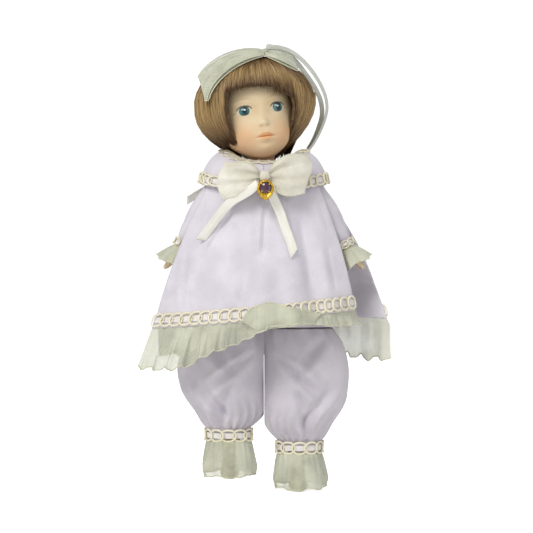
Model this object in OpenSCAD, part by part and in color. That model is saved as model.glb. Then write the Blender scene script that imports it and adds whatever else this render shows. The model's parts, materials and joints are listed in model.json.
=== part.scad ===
// Porcelain doll: a stuffed cloth body with a bisque head, hands and feet, dressed in a smock and bloomers.
// The front faces -Y, the doll's own left is +X and up is +Z.
// The origin is at the waist, where a stand grips.
// Heights in this file are above the left sole.

/* [Body] */
// Height of the waist, where a doll stand grips
waist_h = 145; // [138:1:152]
// Height of the hip joints
hip_h = 96; // [92:1:116]
// Height of the left knee joint, which is also the length of the bisque legs
knee_h = 54; // [45:1:60]
// Height of the shoulder joints
shoulder_h = 196; // [190:1:236]
// Rise from the shoulder joints to the centre of the neck's ball
neck_rise = 10; // [9:1:14]
// Sideways distance from the middle to a hip joint
hip_x = 22; // [19:1:24]
// Sideways distance from the middle to a shoulder joint
shoulder_x = 30; // [28:1:32]
// How much shorter the right thigh is sewn, which lifts that foot
right_lift = 8; // [0:1:9]
// Radius of the stuffed thigh where it meets the body
thigh_r = 12; // [9:0.5:14.5]
// Half-width of the stuffed body at the hips
belly_w = 26; // [20:1:30]
// Half-depth of the stuffed body at the hips
belly_d = 14; // [11:1:17]
// Radius of the top of a bisque leg
calf_r = 8; // [6:0.5:9]

/* [Arms] */
// Angle at which the arms hang away from the body
arm_splay = 29; // [24:1:34]
// Radius of the stuffed upper arm
arm_r = 6; // [4.5:0.5:7.5]
// Length from the shoulder joint to the elbow
upper_arm = 27; // [23:1:32]
// Radius of the bisque wrist
wrist_r = 3.4; // [2.6:0.2:4]

/* [Head] */
// Radius of the head at the ears
head_r = 25; // [20:0.5:30]
// Height from the neck ball's centre to the open crown
crown_h = 62; // [52:1:68]
// Radius of the ball at the foot of the neck
neck_ball_r = 9; // [7.5:0.5:11]
// Thickness of the poured bisque
bisque = 2; // [1.4:0.1:2.4]
// Sideways lean of the head
head_lean = 8.5; // [0:0.5:10]
// Turn of the head to its own left
head_turn = 10; // [-20:1:20]
// How far the hair stands out past the head at the sides
hair_out = 15; // [13:0.5:18]
// Thickness of the hair
hair_t = 4.6; // [3:0.2:5.6]

/* [Smock] */
// Height of the smock's hem at the middle of the front
hem_h = 110; // [108:1:118]
// How much higher the front hem hangs at the doll's left, and lower at its right
hem_tilt = 6; // [0:1:7]
// Half-width of the front hem, to the doll's right
hem_right = 70; // [60:1:84]
// Half-width of the front hem, to the doll's left
hem_left = 60; // [56:1:70]
// Half-width of the back hem, to the doll's left
hem_back = 80; // [72:1:90]
// How far the hem stands forward
hem_d = 46; // [42:1:54]
// Depth of the ruffle below the hem
ruffle_drop = 25; // [15:1:28]
// Thickness of the smock's cloth
cloth = 1; // [0.6:0.1:1.2]
// Thickness of the sheer organza, as it lies in gathers
organza = 0.8; // [0.5:0.1:1]
// Height of the looped braid
braid_h = 9; // [6:0.5:9.5]
// Thickness of the braid
braid_t = 1.4; // [1:0.1:2]

/* [Trim] */
// Half-width of the cape collar
collar_w = 41; // [37:1:44]
// Half-depth of the cape collar
collar_d = 30; // [26:1:32]
// Radius of the gem in the brooch
gem_r = 3.6; // [3:0.2:4.4]
// Width of the satin ribbon
satin_w = 6; // [4:0.5:7]
// Width of the ribbons in the hair
hair_ribbon_w = 3; // [2:0.25:4]
// Radius of the bolt that holds the head on
bolt_r = 1.5; // [1:0.1:2]

/* [Hidden] */
$fn = 48;

// Clearances
gap = 0.3; // between pieces that lie on each other
joint_gap = 0.5; // between stuffed pieces that turn against each other
ball_gap = 0.08; // between the neck's ball, its bolt and its cup

// Places that follow from the sizes above
neck_h = shoulder_h + neck_rise;
shoulder_at = [shoulder_x, 2, shoulder_h];
plate_rim = neck_h - 26;
body_top = neck_h - 21.5;
body_foot = hip_h + thigh_r + joint_gap;
hair_r = head_r + hair_out;
hair_wide_h = crown_h * 0.69;
hair_top = crown_h + 13;

// Routes of the ribbons, from where each leaves its knot
long_ribbon_route = [[13, -9, 78.3], [21, -4, 77.8], [29, 1, 74.5], [36.5, 5, 67.5], [43, 8, 57],
    [47, 10, 46], [47.5, 11, 36], [44.5, 12, 27.5], [40, 13, 20], [35, 14, 13.5], [30, 15, 9]];
short_ribbon_route = [[14, -5, 79.6], [22, 1.5, 77.4], [30, 6, 70.6], [36.5, 9, 60], [41.5, 12, 50],
    [44, 13.5, 41], [43.5, 14.5, 32], [40, 15.5, 24], [35.5, 16.5, 16.5], [31, 17, 11]];
tail_right_route = [[-3.5, -36.5, 0], [-9, -35.5, -4.5], [-15, -33, -8], [-21, -30, -11.5],
    [-27, -28, -18], [-33, -26.5, -26], [-40, -25.5, -35.5]];
tail_left_route = [[3.5, -35, -1], [5, -33, -6.5], [7.5, -31.5, -12.5], [10.5, -31, -19],
    [13.5, -32, -28], [16.5, -34, -36], [19, -35.5, -44.5]];
back_ribbon_route = [[-3, 31, 8], [-14, 30, 7], [-26, 26, 4.5], [-36, 20.5, 0.5], [-44, 16.5, -4],
    [-51, 15, -8.5]];

// ---- functions ------------------------------------------------------------------------------------------

function mix(a, b, t) = a + (b - a) * t;
function clamp(t) = min(1, max(0, t));
function ease(t) = let (c = clamp(t)) c * c * (3 - 2 * c);
function unit(v) = v / norm(v);
// A value read from [at, value] pairs, straight between them
function read(pairs, x) = let (
        n = len(pairs) - 1,
        inside = [for (i = [0 : n - 1]) if ((x - pairs[i][0]) * (x - pairs[i + 1][0]) <= 0) i],
        before = (x - pairs[0][0]) * (pairs[1][0] - pairs[0][0]) < 0,
        i = len(inside) > 0 ? inside[0] : before ? 0 : n - 1)
    mix(pairs[i][1], pairs[i + 1][1], clamp((x - pairs[i][0]) / (pairs[i + 1][0] - pairs[i][0])));
// A level oval ring of points round [x, y, z], in and out by wave at so many waves
function oval(x, y, z, w, d, sides = 24, wave = 0, waves = 8) =
    [for (j = [0 : sides - 1]) let (a = 360 * j / sides, o = wave * sin(a * waves))
        [x + (w + o) * cos(a), y + (d + o) * sin(a), z]];

// ---- shared shapes --------------------------------------------------------------------------------------

function quad(a, b, c, d) = [[a, c, b], [a, d, c]];

// Cloth between an outer and an inner grid of points. Going down the rows and then along the columns
// turns the right hand's thumb outwards. A closed cloth joins its last column to its first.
module cloth_of(outer, inner, closed = false) {
    rows = len(outer);
    cols = len(outer[0]);
    last = closed ? cols - 1 : cols - 2;
    n = rows * cols;
    function at(i, j, k) = k * n + i * cols + j % cols;
    walls = [for (i = [0 : rows - 2], j = [0 : last]) each concat(
        quad(at(i, j, 0), at(i + 1, j, 0), at(i + 1, j + 1, 0), at(i, j + 1, 0)),
        quad(at(i, j, 1), at(i, j + 1, 1), at(i + 1, j + 1, 1), at(i + 1, j, 1)))];
    rims = [for (j = [0 : last]) each concat(
        quad(at(0, j, 1), at(0, j, 0), at(0, j + 1, 0), at(0, j + 1, 1)),
        quad(at(rows - 1, j, 0), at(rows - 1, j, 1), at(rows - 1, j + 1, 1), at(rows - 1, j + 1, 0)))];
    sides = closed ? [] : [for (i = [0 : rows - 2]) each concat(
        quad(at(i, 0, 1), at(i + 1, 0, 1), at(i + 1, 0, 0), at(i, 0, 0)),
        quad(at(i, cols - 1, 0), at(i + 1, cols - 1, 0), at(i + 1, cols - 1, 1), at(i, cols - 1, 1)))];
    polyhedron(concat([for (r = outer) each r], [for (r = inner) each r]), concat(walls, rims, sides),
        convexity = 8);
}

// A solid through a row of rings, closed at both ends, with the same rule for its sides
module solid_of(rings) {
    rows = len(rings);
    cols = len(rings[0]);
    top = rows * cols;
    function at(i, j) = i * cols + j % cols;
    function middle(ring) = [for (k = [0 : 2]) [for (p = ring) p[k]] * [for (p = ring) 1] / len(ring)];
    walls = [for (i = [0 : rows - 2], j = [0 : cols - 1]) each
        [[at(i, j), at(i + 1, j + 1), at(i + 1, j)], [at(i, j), at(i, j + 1), at(i + 1, j + 1)]]];
    caps = [for (j = [0 : cols - 1]) each
        [[top, at(0, j + 1), at(0, j)], [top + 1, at(rows - 1, j), at(rows - 1, j + 1)]]];
    polyhedron(concat([for (r = rings) each r], [middle(rings[0]), middle(rings[rows - 1])]),
        concat(walls, caps), convexity = 8);
}

// A flat ribbon along a route, as flattened rings of 8 points, with its face turned to one side
module ribbon(route, width, face, thick = 0.5) {
    count = len(route);
    function ahead(i) = unit(route[min(i + 1, count - 1)] - route[max(i - 1, 0)]);
    function across(i) = unit(cross(ahead(i), face));
    function out(i) = cross(ahead(i), across(i));
    solid_of([for (i = [0 : count - 1])
        [for (j = [0 : 7])
            route[i] + across(i) * width / 2 * cos(45 * j) + out(i) * thick / 2 * sin(45 * j)]]);
}

module grip_frame() translate([0, 0, -waist_h]) children();
module neck_frame() grip_frame() translate([0, 0, neck_h]) rotate([0, -head_lean, 0]) children();
module head_frame() neck_frame() rotate([0, 0, head_turn]) children();
module shoulder_frame() grip_frame() translate([0, 0, shoulder_h]) children();
// A left arm's own frame: the shoulder joint at its origin, the arm hanging down -Z
module arm_frame() grip_frame() translate(shoulder_at) rotate([0, -arm_splay, 0]) children();
// A leg's own frame, at its hip or its knee
module leg_frame(h) grip_frame() translate([hip_x, 0, h]) children();
module right_side() mirror([1, 0, 0]) children();

// ---- head -----------------------------------------------------------------------------------------------

// Radius of the bisque head at a height above the neck's ball
chin_h = 8;
face_wide_h = crown_h * 0.62;
function face_r(z) = let (
        t = (z - face_wide_h) / (z < face_wide_h ? face_wide_h - chin_h + 1 : crown_h * 0.53))
    head_r * sqrt(max(0.01, 1 - t * t));
function face_line(off) = [for (i = [0 : 16]) let (z = mix(chin_h + 1, crown_h, i / 16))
    [max(face_r(z) - off, 1), z + (i == 0 ? off : 0)]];

module head_shell() color("bisque") head_frame() difference() {
    union() {
        rotate_extrude() polygon(concat([[0, chin_h + 1]], face_line(0), [[0, crown_h]]));
        sphere(r = neck_ball_r);
        cylinder(r = neck_ball_r - 1, h = chin_h + 8);
        translate([0, -head_r * 0.52, chin_h + 5.6]) sphere(r = head_r * 0.24);
        translate([0, -face_r(29), 29]) sphere(r = 2.4);
    }
    rotate_extrude() polygon(concat([[0, chin_h + 3]], face_line(bisque), [[0, crown_h]]));
    translate([0, 0, crown_h - 1]) cylinder(r = face_r(crown_h) - bisque, h = 4);
    sphere(r = neck_ball_r - bisque);
    cylinder(r = neck_ball_r - 1 - bisque, h = chin_h + 8);
    translate([0, 0, -neck_ball_r - 1]) cylinder(r = bolt_r + ball_gap, h = neck_ball_r);
}

// The pate is a shallow dome that closes the crown
pate_r = face_r(crown_h) - gap;
pate_ball_r = pate_r * 1.8;
pate_drop = sqrt(pow(pate_ball_r, 2) - pow(pate_r, 2));
module crown_pate() color("tan") head_frame() translate([0, 0, crown_h + 0.1])
    intersection() {
        translate([0, 0, -pate_drop]) sphere(r = pate_ball_r);
        cylinder(r = pate_r, h = pate_r);
    }

// The cap hugs the skull and the pate
cap_t = 0.7;
function cap_line(off) = concat(
    [for (i = [0 : 5]) let (z = mix(crown_h * 0.8, crown_h, i / 5)) [face_r(z) + off, z]],
    [for (i = [4 : -1 : 0]) let (r = pate_r * i / 5)
        [r, crown_h + 0.1 + sqrt(pow(pate_ball_r, 2) - r * r) - pate_drop + off]]);
module wig_cap() color("dimgray") head_frame() rotate_extrude() polygon(concat(
    cap_line(gap), [for (i = [10 : -1 : 0]) cap_line(gap + cap_t)[i]]));

// The hair is a bob: an arc over the crown that curls in below the ears, cut high at the front.
// Angle a runs round the head from its left ear, and t from the crown to the cut edge.
fringe_h = crown_h * 0.765;
hair_foot = 16;
window_half = 38;
function from_front(a) = abs((a + 270) % 360 - 180);
function hair_edge(a) = mix(fringe_h, hair_foot, ease((from_front(a) - window_half + 4) / 8))
    - hair_r * 0.7 * cos(a) * tan(head_lean);
function hair_radius(z, off) = z > hair_wide_h
    ? (hair_r - off) * sqrt(max(0, 1 - pow((z - hair_wide_h) / (hair_top - off - hair_wide_h), 2)))
    : hair_r - off - 0.0235 * pow(hair_wide_h - z, 2);
function hair_point(a, t, off) = let (
        z = mix(hair_top - off, hair_edge(a), 1 - cos(90 * t)),
        r = hair_radius(z, off),
        p = [r * cos(a), r * sin(a) * (0.88 + 0.1 * sin(a))],
        least = off > 0 && z < crown_h * 0.8 ? face_r(z) + 1 : 0,
        k = max(1, least / max(norm(p), 0.1)))
    [p[0] * k, p[1] * k, z];
hair_rows = 12;
hair_cols = 40;
function hair_grid(off) = [for (i = [1 : hair_rows]) [for (j = [0 : hair_cols - 1])
    hair_point(360 * j / hair_cols, i / hair_rows, off)]];
module wig() {
    n = hair_rows * hair_cols;
    function at(i, j, k) = k * n + i * hair_cols + j % hair_cols;
    walls = [for (i = [0 : hair_rows - 2], j = [0 : hair_cols - 1]) each concat(
        quad(at(i, j, 0), at(i + 1, j, 0), at(i + 1, j + 1, 0), at(i, j + 1, 0)),
        quad(at(i, j, 1), at(i, j + 1, 1), at(i + 1, j + 1, 1), at(i + 1, j, 1)))];
    foot = [for (j = [0 : hair_cols - 1]) each quad(at(hair_rows - 1, j, 0), at(hair_rows - 1, j, 1),
        at(hair_rows - 1, j + 1, 1), at(hair_rows - 1, j + 1, 0))];
    crowns = [for (j = [0 : hair_cols - 1]) each
        [[2 * n, at(0, j + 1, 0), at(0, j, 0)], [2 * n + 1, at(0, j, 1), at(0, j + 1, 1)]]];
    points = concat([for (r = hair_grid(0)) each r], [for (r = hair_grid(hair_t)) each r],
        [[0, 0, hair_top], [0, 0, hair_top - hair_t]]);
    color("peru") head_frame() polyhedron(points, concat(walls, foot, crowns), convexity = 8);
}

// The bow's two flattened loops follow the hair down to both sides of a gathered knot
bow_at = [9, -10];
function over_crown(x, y, lift) = [x, y, hair_wide_h + (hair_top - hair_wide_h + lift)
    * sqrt(max(0.02, 1 - pow(x / (hair_r + lift), 2) - pow(y / (hair_r * 0.86 + lift), 2)))];
function bow_grid(x0, x1, lift) = let (way = sign(x1 - x0)) [for (i = [0 : 8]) [for (j = [-3 : 3])
    let (half = 3.5 + 7 * sin(170 * i / 8)) over_crown(mix(x0, x1, i / 8), bow_at[1] + way * half * j / 3,
        min(lift, 0.9 + lift * sin(22 + 150 * i / 8)))]];
module bow_loop(x0, x1) cloth_of(bow_grid(x0, x1, 4.2), bow_grid(x0, x1, 0.6));
module hair_bow() color("honeydew") head_frame() {
    bow_loop(bow_at[0] - 3, -hair_r * 0.84);
    bow_loop(bow_at[0] + 3, hair_r * 0.74);
}
module hair_bow_knot() color("honeydew") head_frame()
    translate(over_crown(bow_at[0], bow_at[1], 3.2)) sphere(r = 2.5);
module hair_ribbon_long() color("lavenderblush") neck_frame()
    ribbon(long_ribbon_route, hair_ribbon_w, [0.2, -1, 0.1]);
module hair_ribbon_short() color("lavenderblush") neck_frame()
    ribbon(short_ribbon_route, hair_ribbon_w, [0.2, -1, 0.1]);

// ---- neck -----------------------------------------------------------------------------------------------

cup_r = neck_ball_r + ball_gap;
cup_wall = 2.3;
module shoulder_plate() color("bisque") grip_frame() translate([0, 0, neck_h]) difference() {
    r = cup_r + cup_wall;
    rotate_extrude() polygon([[0, 0], [r, 0], [r + 1, -4], [r + 4, -9], [17.6, -14], [18, -20], [18, -26],
        [16, -26], [16, -20], [15.4, -14.5], [12.5, -r - 0.2], [0, -r]]);
    sphere(r = cup_r);
    rotate([0, -head_lean, 0]) translate([0, 0, -20]) cylinder(r = bolt_r + 0.6, h = 14);
}
// The bolt's head sits inside the ball, and its shank passes through the cup
washer_r = 4.2;
washer_top = -(cup_r + cup_wall + gap + washer_r * sin(head_lean)) / cos(head_lean);
bolt_head_h = 1.4;
bolt_head_r = 3.6;
bolt_seat = -sqrt(pow(neck_ball_r - bisque, 2) - pow(bolt_head_r, 2)) + 0.15;
module neck_bolt() color("silver") neck_frame() {
    translate([0, 0, bolt_seat]) cylinder(r = bolt_head_r, h = bolt_head_h);
    translate([0, 0, washer_top - 8]) cylinder(r = bolt_r, h = bolt_seat - washer_top + 8.5);
}
module neck_washer() color("sienna") neck_frame() translate([0, 0, washer_top - 1]) difference() {
    cylinder(r = washer_r, h = 1);
    translate([0, 0, -1]) cylinder(r = bolt_r + 0.2, h = 3);
}
module neck_spring() color("silver") neck_frame() {
    wire = 0.4;
    turns = 3;
    steps = 12;
    solid_of([for (i = [0 : turns * steps]) let (
            a = 360 * i / steps,
            z = washer_top - 1.6 - 2.6 * i / (turns * steps))
        [for (j = [7 : -1 : 0]) let (r = bolt_r + 1.1 + wire * cos(45 * j))
            [r * cos(-a), r * sin(-a), z + wire * sin(45 * j)]]]);
}
module neck_nut() color("silver") neck_frame() translate([0, 0, washer_top - 7]) difference() {
    cylinder(r = 3.2, h = 2.2, $fn = 6);
    translate([0, 0, -1]) cylinder(r = bolt_r + 0.05, h = 4);
}

// ---- stuffed body ---------------------------------------------------------------------------------------

module cloth_body() color("linen") grip_frame() solid_of([
    for (s = [[body_top, 12, 10], [body_top - 1.5, 15, 11.6], [plate_rim - 0.6, 15.4, 12],
            [plate_rim - 3, 19, 12.6], [mix(waist_h, plate_rim, 0.6), 20.5, 13], [waist_h, belly_w - 5, 12.5],
            [mix(body_foot, waist_h, 0.4), belly_w, belly_d], [body_foot + 2.5, belly_w - 1, belly_d - 0.5],
            [body_foot, belly_w - 4, belly_d - 3]])
        oval(0, 0, s[0], s[1], s[2], 28)]);

// ---- smock ----------------------------------------------------------------------------------------------

// Widths and depths of the smock, by how far down it is: 0 at the armholes and 1 at the hem
smock_top = shoulder_h + 6;
hand_foot = shoulder_h - 62;
back_d = hem_d - 3;
function down(z) = (smock_top - z) / (smock_top - hem_h);
function smock_w(z, hem_w, bulge) = z > smock_top
    ? read([[smock_top + 7, 18], [smock_top + 3.5, 27], [smock_top, 33]], z)
    : mix(33, hem_w, down(z)) + bulge * sin(180 * clamp(down(z)));
function smock_side(z, line) = z > smock_top
    ? read([[smock_top + 7, 0.5], [smock_top + 3.5, 2.5], [smock_top, line[0][1]]], z)
    : read(line, down(z));
function smock_deep(z, low) = z > smock_top
    ? read([[smock_top + 7, 11.8], [smock_top + 3.5, 15], [smock_top, 19]], z) : mix(19, low, down(z));
// Depths of the open sides of the front and of the back, from the armhole down to the hem
front_side = [[0, 10], [1, 16]];
back_side = [[0, 9.7], [0.35, 15.7], [1, 18.5]];
// Below the hands the open sides of the front and the back draw together
function below_hands(z) = ease((hand_foot - z) / (hand_foot - hem_h + 2));
// u runs from the doll's right, -1, to its left, 1
function front_at(u, z, off = 0) = let (
        side = smock_side(z, front_side) - 6 * below_hands(z)) [
    u * (smock_w(z, u < 0 ? hem_right : hem_left, 3) + off),
    -(side + off + (smock_deep(max(z, hem_h - 8), hem_d) - side) * (1 - pow(abs(u), 2.4))),
    z];
function back_at(u, z, off = 0) = let (
        low = max(z, hem_h - 4),
        side = smock_side(low, back_side) - 20 * below_hands(z)) [
    u * (smock_w(low, u < 0 ? hem_right - 2 : hem_back, u < 0 ? 2 : 7) + off),
    side + off + (smock_deep(low, back_d) - side) * (1 - pow(abs(u), 2.4)),
    z];
function front_hem(u) = hem_h + hem_tilt * u;
smock_rises = [7, 3.5, 0];
function smock_heights(foot, rows = 9) = concat([for (r = smock_rises) smock_top + r],
    [for (i = [1 : rows]) mix(smock_top, foot, i / rows)]);
smock_cols = 22;
module smock_front() {
    function grid(off) = [for (i = [0 : 11]) [for (j = [0 : smock_cols]) let (u = 2 * j / smock_cols - 1)
        front_at(u, smock_heights(front_hem(u))[i], off)]];
    color("thistle") grip_frame() cloth_of(grid(0), grid(-cloth));
}
module smock_back() {
    function grid(off) = [for (i = [0 : 11]) [for (j = [0 : smock_cols]) let (u = 1 - 2 * j / smock_cols)
        back_at(u, smock_heights(hem_h)[i], off)]];
    color("thistle") grip_frame() cloth_of(grid(0), grid(-cloth));
}
module hem_braid_front() {
    function grid(off) = [for (z = [braid_h + 0.5, 0.5]) [for (j = [0 : 30]) let (u = 2 * j / 30 - 1)
        front_at(u, front_hem(u) + z, off)]];
    color("cornsilk") grip_frame() cloth_of(grid(gap + braid_t), grid(gap));
}
module hem_braid_back() {
    function grid(off) = [for (z = [braid_h + 0.5, 0.5]) [for (j = [0 : 30]) let (u = 1 - 2 * j / 30)
        back_at(u, hem_h + z, off)]];
    color("cornsilk") grip_frame() cloth_of(grid(gap + braid_t), grid(gap));
}
// The ruffle hangs deep at the doll's right, shallow across the front, and flares as it falls
front_drop = [[-1, 1], [-0.7, 1.02], [-0.45, 0.72], [-0.2, 0.5], [0, 0.24], [0.7, 0.28], [1, 0.34]];
module hem_ruffle_front() {
    function grid(off) = [for (i = [0 : 3]) [for (j = [0 : 48]) let (u = 2 * j / 48 - 1, t = i / 3,
            out = t * (3.5 + 1.8 * sin(j * 60)))
        front_at(u, front_hem(u) - gap - t * ruffle_drop * read(front_drop, u), off) - [0, out, 0]]];
    color("honeydew") grip_frame() cloth_of(grid(0), grid(-organza));
}
module hem_ruffle_back() {
    function grid(off) = [for (i = [0 : 3]) [for (j = [0 : 54]) let (u = 1 - 2 * j / 54, t = i / 3,
            out = t * (3 + 1.8 * sin(j * 60)))
        back_at(u, hem_h - gap - t * ruffle_drop, off) + [0, out, 0]]];
    color("honeydew") grip_frame() cloth_of(grid(0), grid(-organza));
}
// Snaps that close the back opening
module back_snaps() color("silver") grip_frame() for (k = [0 : 2]) let (z = shoulder_h - 10 - 16 * k)
    translate(back_at(0, z, 0.6)) rotate([-90, 0, 0]) cylinder(r = 2.2, h = 1);

// ---- collar ---------------------------------------------------------------------------------------------

// Angle a runs round the neck from the doll's left, and s from the neckline, 0, to the hem, 1
neckline = head_r * 0.68;
function collar_foot(a) = shoulder_h - 3 + 5 * pow(cos(a), 4);
function collar_rise(a) = shoulder_h + 14.2 + 4.4 * pow(cos(a), 4) + 4 * pow(max(0, sin(a)), 2);
function collar_at(a, s, off = 0) = [
    (mix(neckline, collar_w, sin(90 * s)) + off * sin(90 * s)) * cos(a),
    (mix(neckline - 3, collar_d, sin(90 * s)) + off * sin(90 * s)) * sin(a),
    mix(collar_foot(a), collar_rise(a), cos(90 * s)) + off * cos(90 * s)];
module cape(s0, s1, rows, inner_off, outer_off) {
    function grid(off) = [for (i = [0 : rows]) [for (j = [0 : 39])
        collar_at(360 * j / 40, mix(s0, s1, i / rows), off)]];
    cloth_of(grid(outer_off), grid(inner_off), closed = true);
}
module collar() color("thistle") grip_frame() cape(0, 1, 6, -cloth, 0);
module collar_braid() color("cornsilk") grip_frame() cape(0.8, 0.995, 1, gap, gap + braid_t);
module neck_lace() color("cornsilk") grip_frame() cape(0.03, 0.3, 2, gap, gap + 1);

// ---- bow and brooch -------------------------------------------------------------------------------------

// A lobe spreads from the knot, from x0 to x1, with its own rise and half-height at the outer end
module chest_lobe(x0, x1, rise, half) {
    function grid(puff) = [for (i = [0 : 4]) [for (j = [0 : 8]) let (
            x = mix(x0, x1, j / 8),
            s = clamp((abs(x) - 4.5) / (max(abs(x0), abs(x1)) - 4.5)),
            v = 1 - i / 2)
        [x, -31.5 + 5 * s * s - puff * (0.3 + sqrt(max(0, 1 - v * v)) * sin(150 * s)),
            4 + rise * s + v * mix(3.2, half, sqrt(s))]]];
    cloth_of(grid(2.2), grid(-0.8));
}
module chest_bow_left() color("ivory") shoulder_frame() chest_lobe(4.8, 29, 3.5, 14);
module chest_bow_right() color("ivory") shoulder_frame() chest_lobe(-28, -4.8, -1, 12);
knot_at = [0.5, -35.2, 4.6];
knot_r = 3.4;
module chest_bow_knot() color("ivory") shoulder_frame() translate(knot_at) sphere(r = knot_r);
module ribbon_tail_left() color("white") shoulder_frame() ribbon(tail_left_route, satin_w, [0, -1, 0]);
module ribbon_tail_right() color("white") shoulder_frame() ribbon(tail_right_route, satin_w, [0, -1, 0]);
module back_ribbon() color("white") shoulder_frame() ribbon(back_ribbon_route, satin_w - 1, [-0.35, 1, 0]);

// The brooch hangs on the knot: a gilt setting with a pear-shaped foot, and a cut gem in its upper part
brooch_at = [knot_at[0] + 0.5, knot_at[1] - 2.8, knot_at[2] - 9];
module brooch_frame() shoulder_frame() translate(brooch_at) rotate([90, 0, 0]) children();
module brooch_setting() color("gold") brooch_frame() difference() {
    union() {
        translate([0, 1.4, 0]) cylinder(r = gem_r + 1.5, h = 2);
        linear_extrude(2) polygon([for (k = [0 : 18]) let (a = 180 + 10 * k)
            [(gem_r + 1.5) * cos(a), 1.4 + (gem_r + 1.5) * sin(a) * (1 + 0.45 * pow(-sin(a), 6))]]);
    }
    translate([0, 1.4, 0.8]) cylinder(r = gem_r + 0.1, h = 3);
}
module brooch_gem() color("indigo") brooch_frame() translate([0, 1.4, 0.85])
    rotate_extrude() polygon([[0, 0], [gem_r, 0], [gem_r, 1.1], [gem_r * 0.6, 2.4], [0, 2.4]]);

// ---- bloomers -------------------------------------------------------------------------------------------

seat_foot = hip_h + 8.8;
module bloomer_seat() color("thistle") grip_frame() {
    rings = [[waist_h - 4, 23.5, 15.8], [mix(seat_foot, waist_h - 4, 0.8), 30, 19],
        [mix(seat_foot, waist_h - 4, 0.4), 44, 22.5], [seat_foot, 50, 22]];
    cloth_of([for (r = rings) oval(0, 0, r[0], r[1], r[2], 32)],
        [for (r = rings) oval(0, 0, r[0], r[1] - cloth, r[2] - cloth, 32)], closed = true);
}
module waist_elastic() color("ivory") grip_frame() {
    rings = [waist_h - 0.5, waist_h - 3.7];
    cloth_of([for (z = rings) oval(0, 0, z, belly_w - 2.5, 15.2, 32)],
        [for (z = rings) oval(0, 0, z, belly_w - 3.7, 14, 32)], closed = true);
}
// The puffed leg, by how far down it is: half-width and half-depth
cuff_h = 31.5;
bloomer_w = [[0, 23], [0.15, 26], [0.4, 27.3], [0.65, 26.6], [0.82, 23], [0.93, 18], [1, 15]];
bloomer_d = [[0, 17.5], [0.15, 20], [0.4, 21.5], [0.65, 21.5], [0.82, 19], [0.93, 15.5], [1, 12.5]];
bloomer_stops = [0, 0.08, 0.16, 0.28, 0.4, 0.52, 0.65, 0.75, 0.82, 0.88, 0.93, 0.97, 1];
module bloomer(lift) {
    function rings(off) = [for (t = bloomer_stops) let (w = read(bloomer_w, t))
        oval(mix(w + 0.7, hip_x + 1, ease((t - 0.6) / 0.4)), 0, mix(hip_h + 8, cuff_h + lift, t),
            w - off, read(bloomer_d, t) - off, 24)];
    color("thistle") grip_frame() cloth_of(rings(0), rings(cloth), closed = true);
}
module ankle_braid(lift) color("cornsilk") grip_frame() {
    rings = [cuff_h - gap + lift, cuff_h - gap - braid_h + lift];
    cloth_of([for (z = rings) oval(hip_x + 1, 0, z, 16, 13.5, 28)],
        [for (z = rings) oval(hip_x + 1, 0, z, 16 - braid_t, 13.5 - braid_t, 28)], closed = true);
}
module ankle_ruffle(lift) {
    foot = 1.5 + lift;
    top = cuff_h - 2 * gap - braid_h + lift;
    function rings(off) = [for (t = [0, 0.3, 0.65, 1])
        oval(hip_x + 1, -5.5 * ease(t * 1.3), mix(top, foot, t), mix(13.5, 18, sqrt(t)) - off,
            mix(12, 20.5, sqrt(t)) - off, 42, t * 0.9, 7)];
    color("honeydew") grip_frame() cloth_of(rings(0), rings(organza), closed = true);
}

// ---- legs -----------------------------------------------------------------------------------------------

module thigh(lift) color("linen") leg_frame(hip_h) {
    reach = hip_h - knee_h - lift - calf_r - joint_gap;
    sphere(r = thigh_r);
    translate([0, 0, -reach]) cylinder(r1 = calf_r + 1, r2 = thigh_r - 0.6, h = reach);
}
// The bisque leg turns on a ball at the knee, has a groove for its tie and ends in a bare foot
tie_r = 0.9;
groove_h = 9;
groove_r = calf_r - 1;
foot_long = 27;
function foot_ring(y) = let (s = (6.5 - y) / foot_long)
    [for (j = [0 : 13]) let (
            a = 360 * j / 14,
            h = read([[0, 3], [0.12, 5], [0.4, 6.2], [0.75, 3.8], [0.95, 2.6], [1, 1.4]], s),
            w = read([[0, 2.5], [0.12, 4.6], [0.4, 5], [0.75, 6.2], [0.92, 5], [1, 2.2]], s))
        [w * cos(a), y, -knee_h + max(0, h - h * 1.15 * sin(a))]];
module leg(lift) color("bisque") leg_frame(knee_h + lift) {
    sphere(r = calf_r);
    rotate_extrude() polygon([[0, 0], [calf_r, 0], [calf_r, -groove_h + 1.4], [groove_r, -groove_h + 0.9],
        [groove_r, -groove_h - 0.9], [calf_r, -groove_h - 1.4], [calf_r + 0.2, -16], [calf_r - 1, -26],
        [5.4, -knee_h + 18], [5, -knee_h + 10], [4.4, -knee_h + 5], [0, -knee_h + 5]]);
    solid_of([for (s = [0, 0.05, 0.14, 0.3, 0.45, 0.6, 0.75, 0.88, 0.96, 1]) foot_ring(6.5 - s * foot_long)]);
}
module tie(r) rotate_extrude() translate([r + tie_r + 0.05, 0]) circle(r = tie_r, $fn = 24);
module leg_tie(lift) color("white") leg_frame(knee_h + lift) translate([0, 0, -groove_h]) tie(groove_r);

// ---- arms -----------------------------------------------------------------------------------------------

elbow_r = arm_r - 0.5;
sleeve_r = arm_r + 3;
hand_long = 19;
wrist_down = 17;
module upper_arm_piece() color("linen") arm_frame() {
    reach = upper_arm - elbow_r - joint_gap;
    sphere(r = arm_r + 1);
    translate([0, 0, -reach]) cylinder(r = arm_r, h = reach);
}
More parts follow.
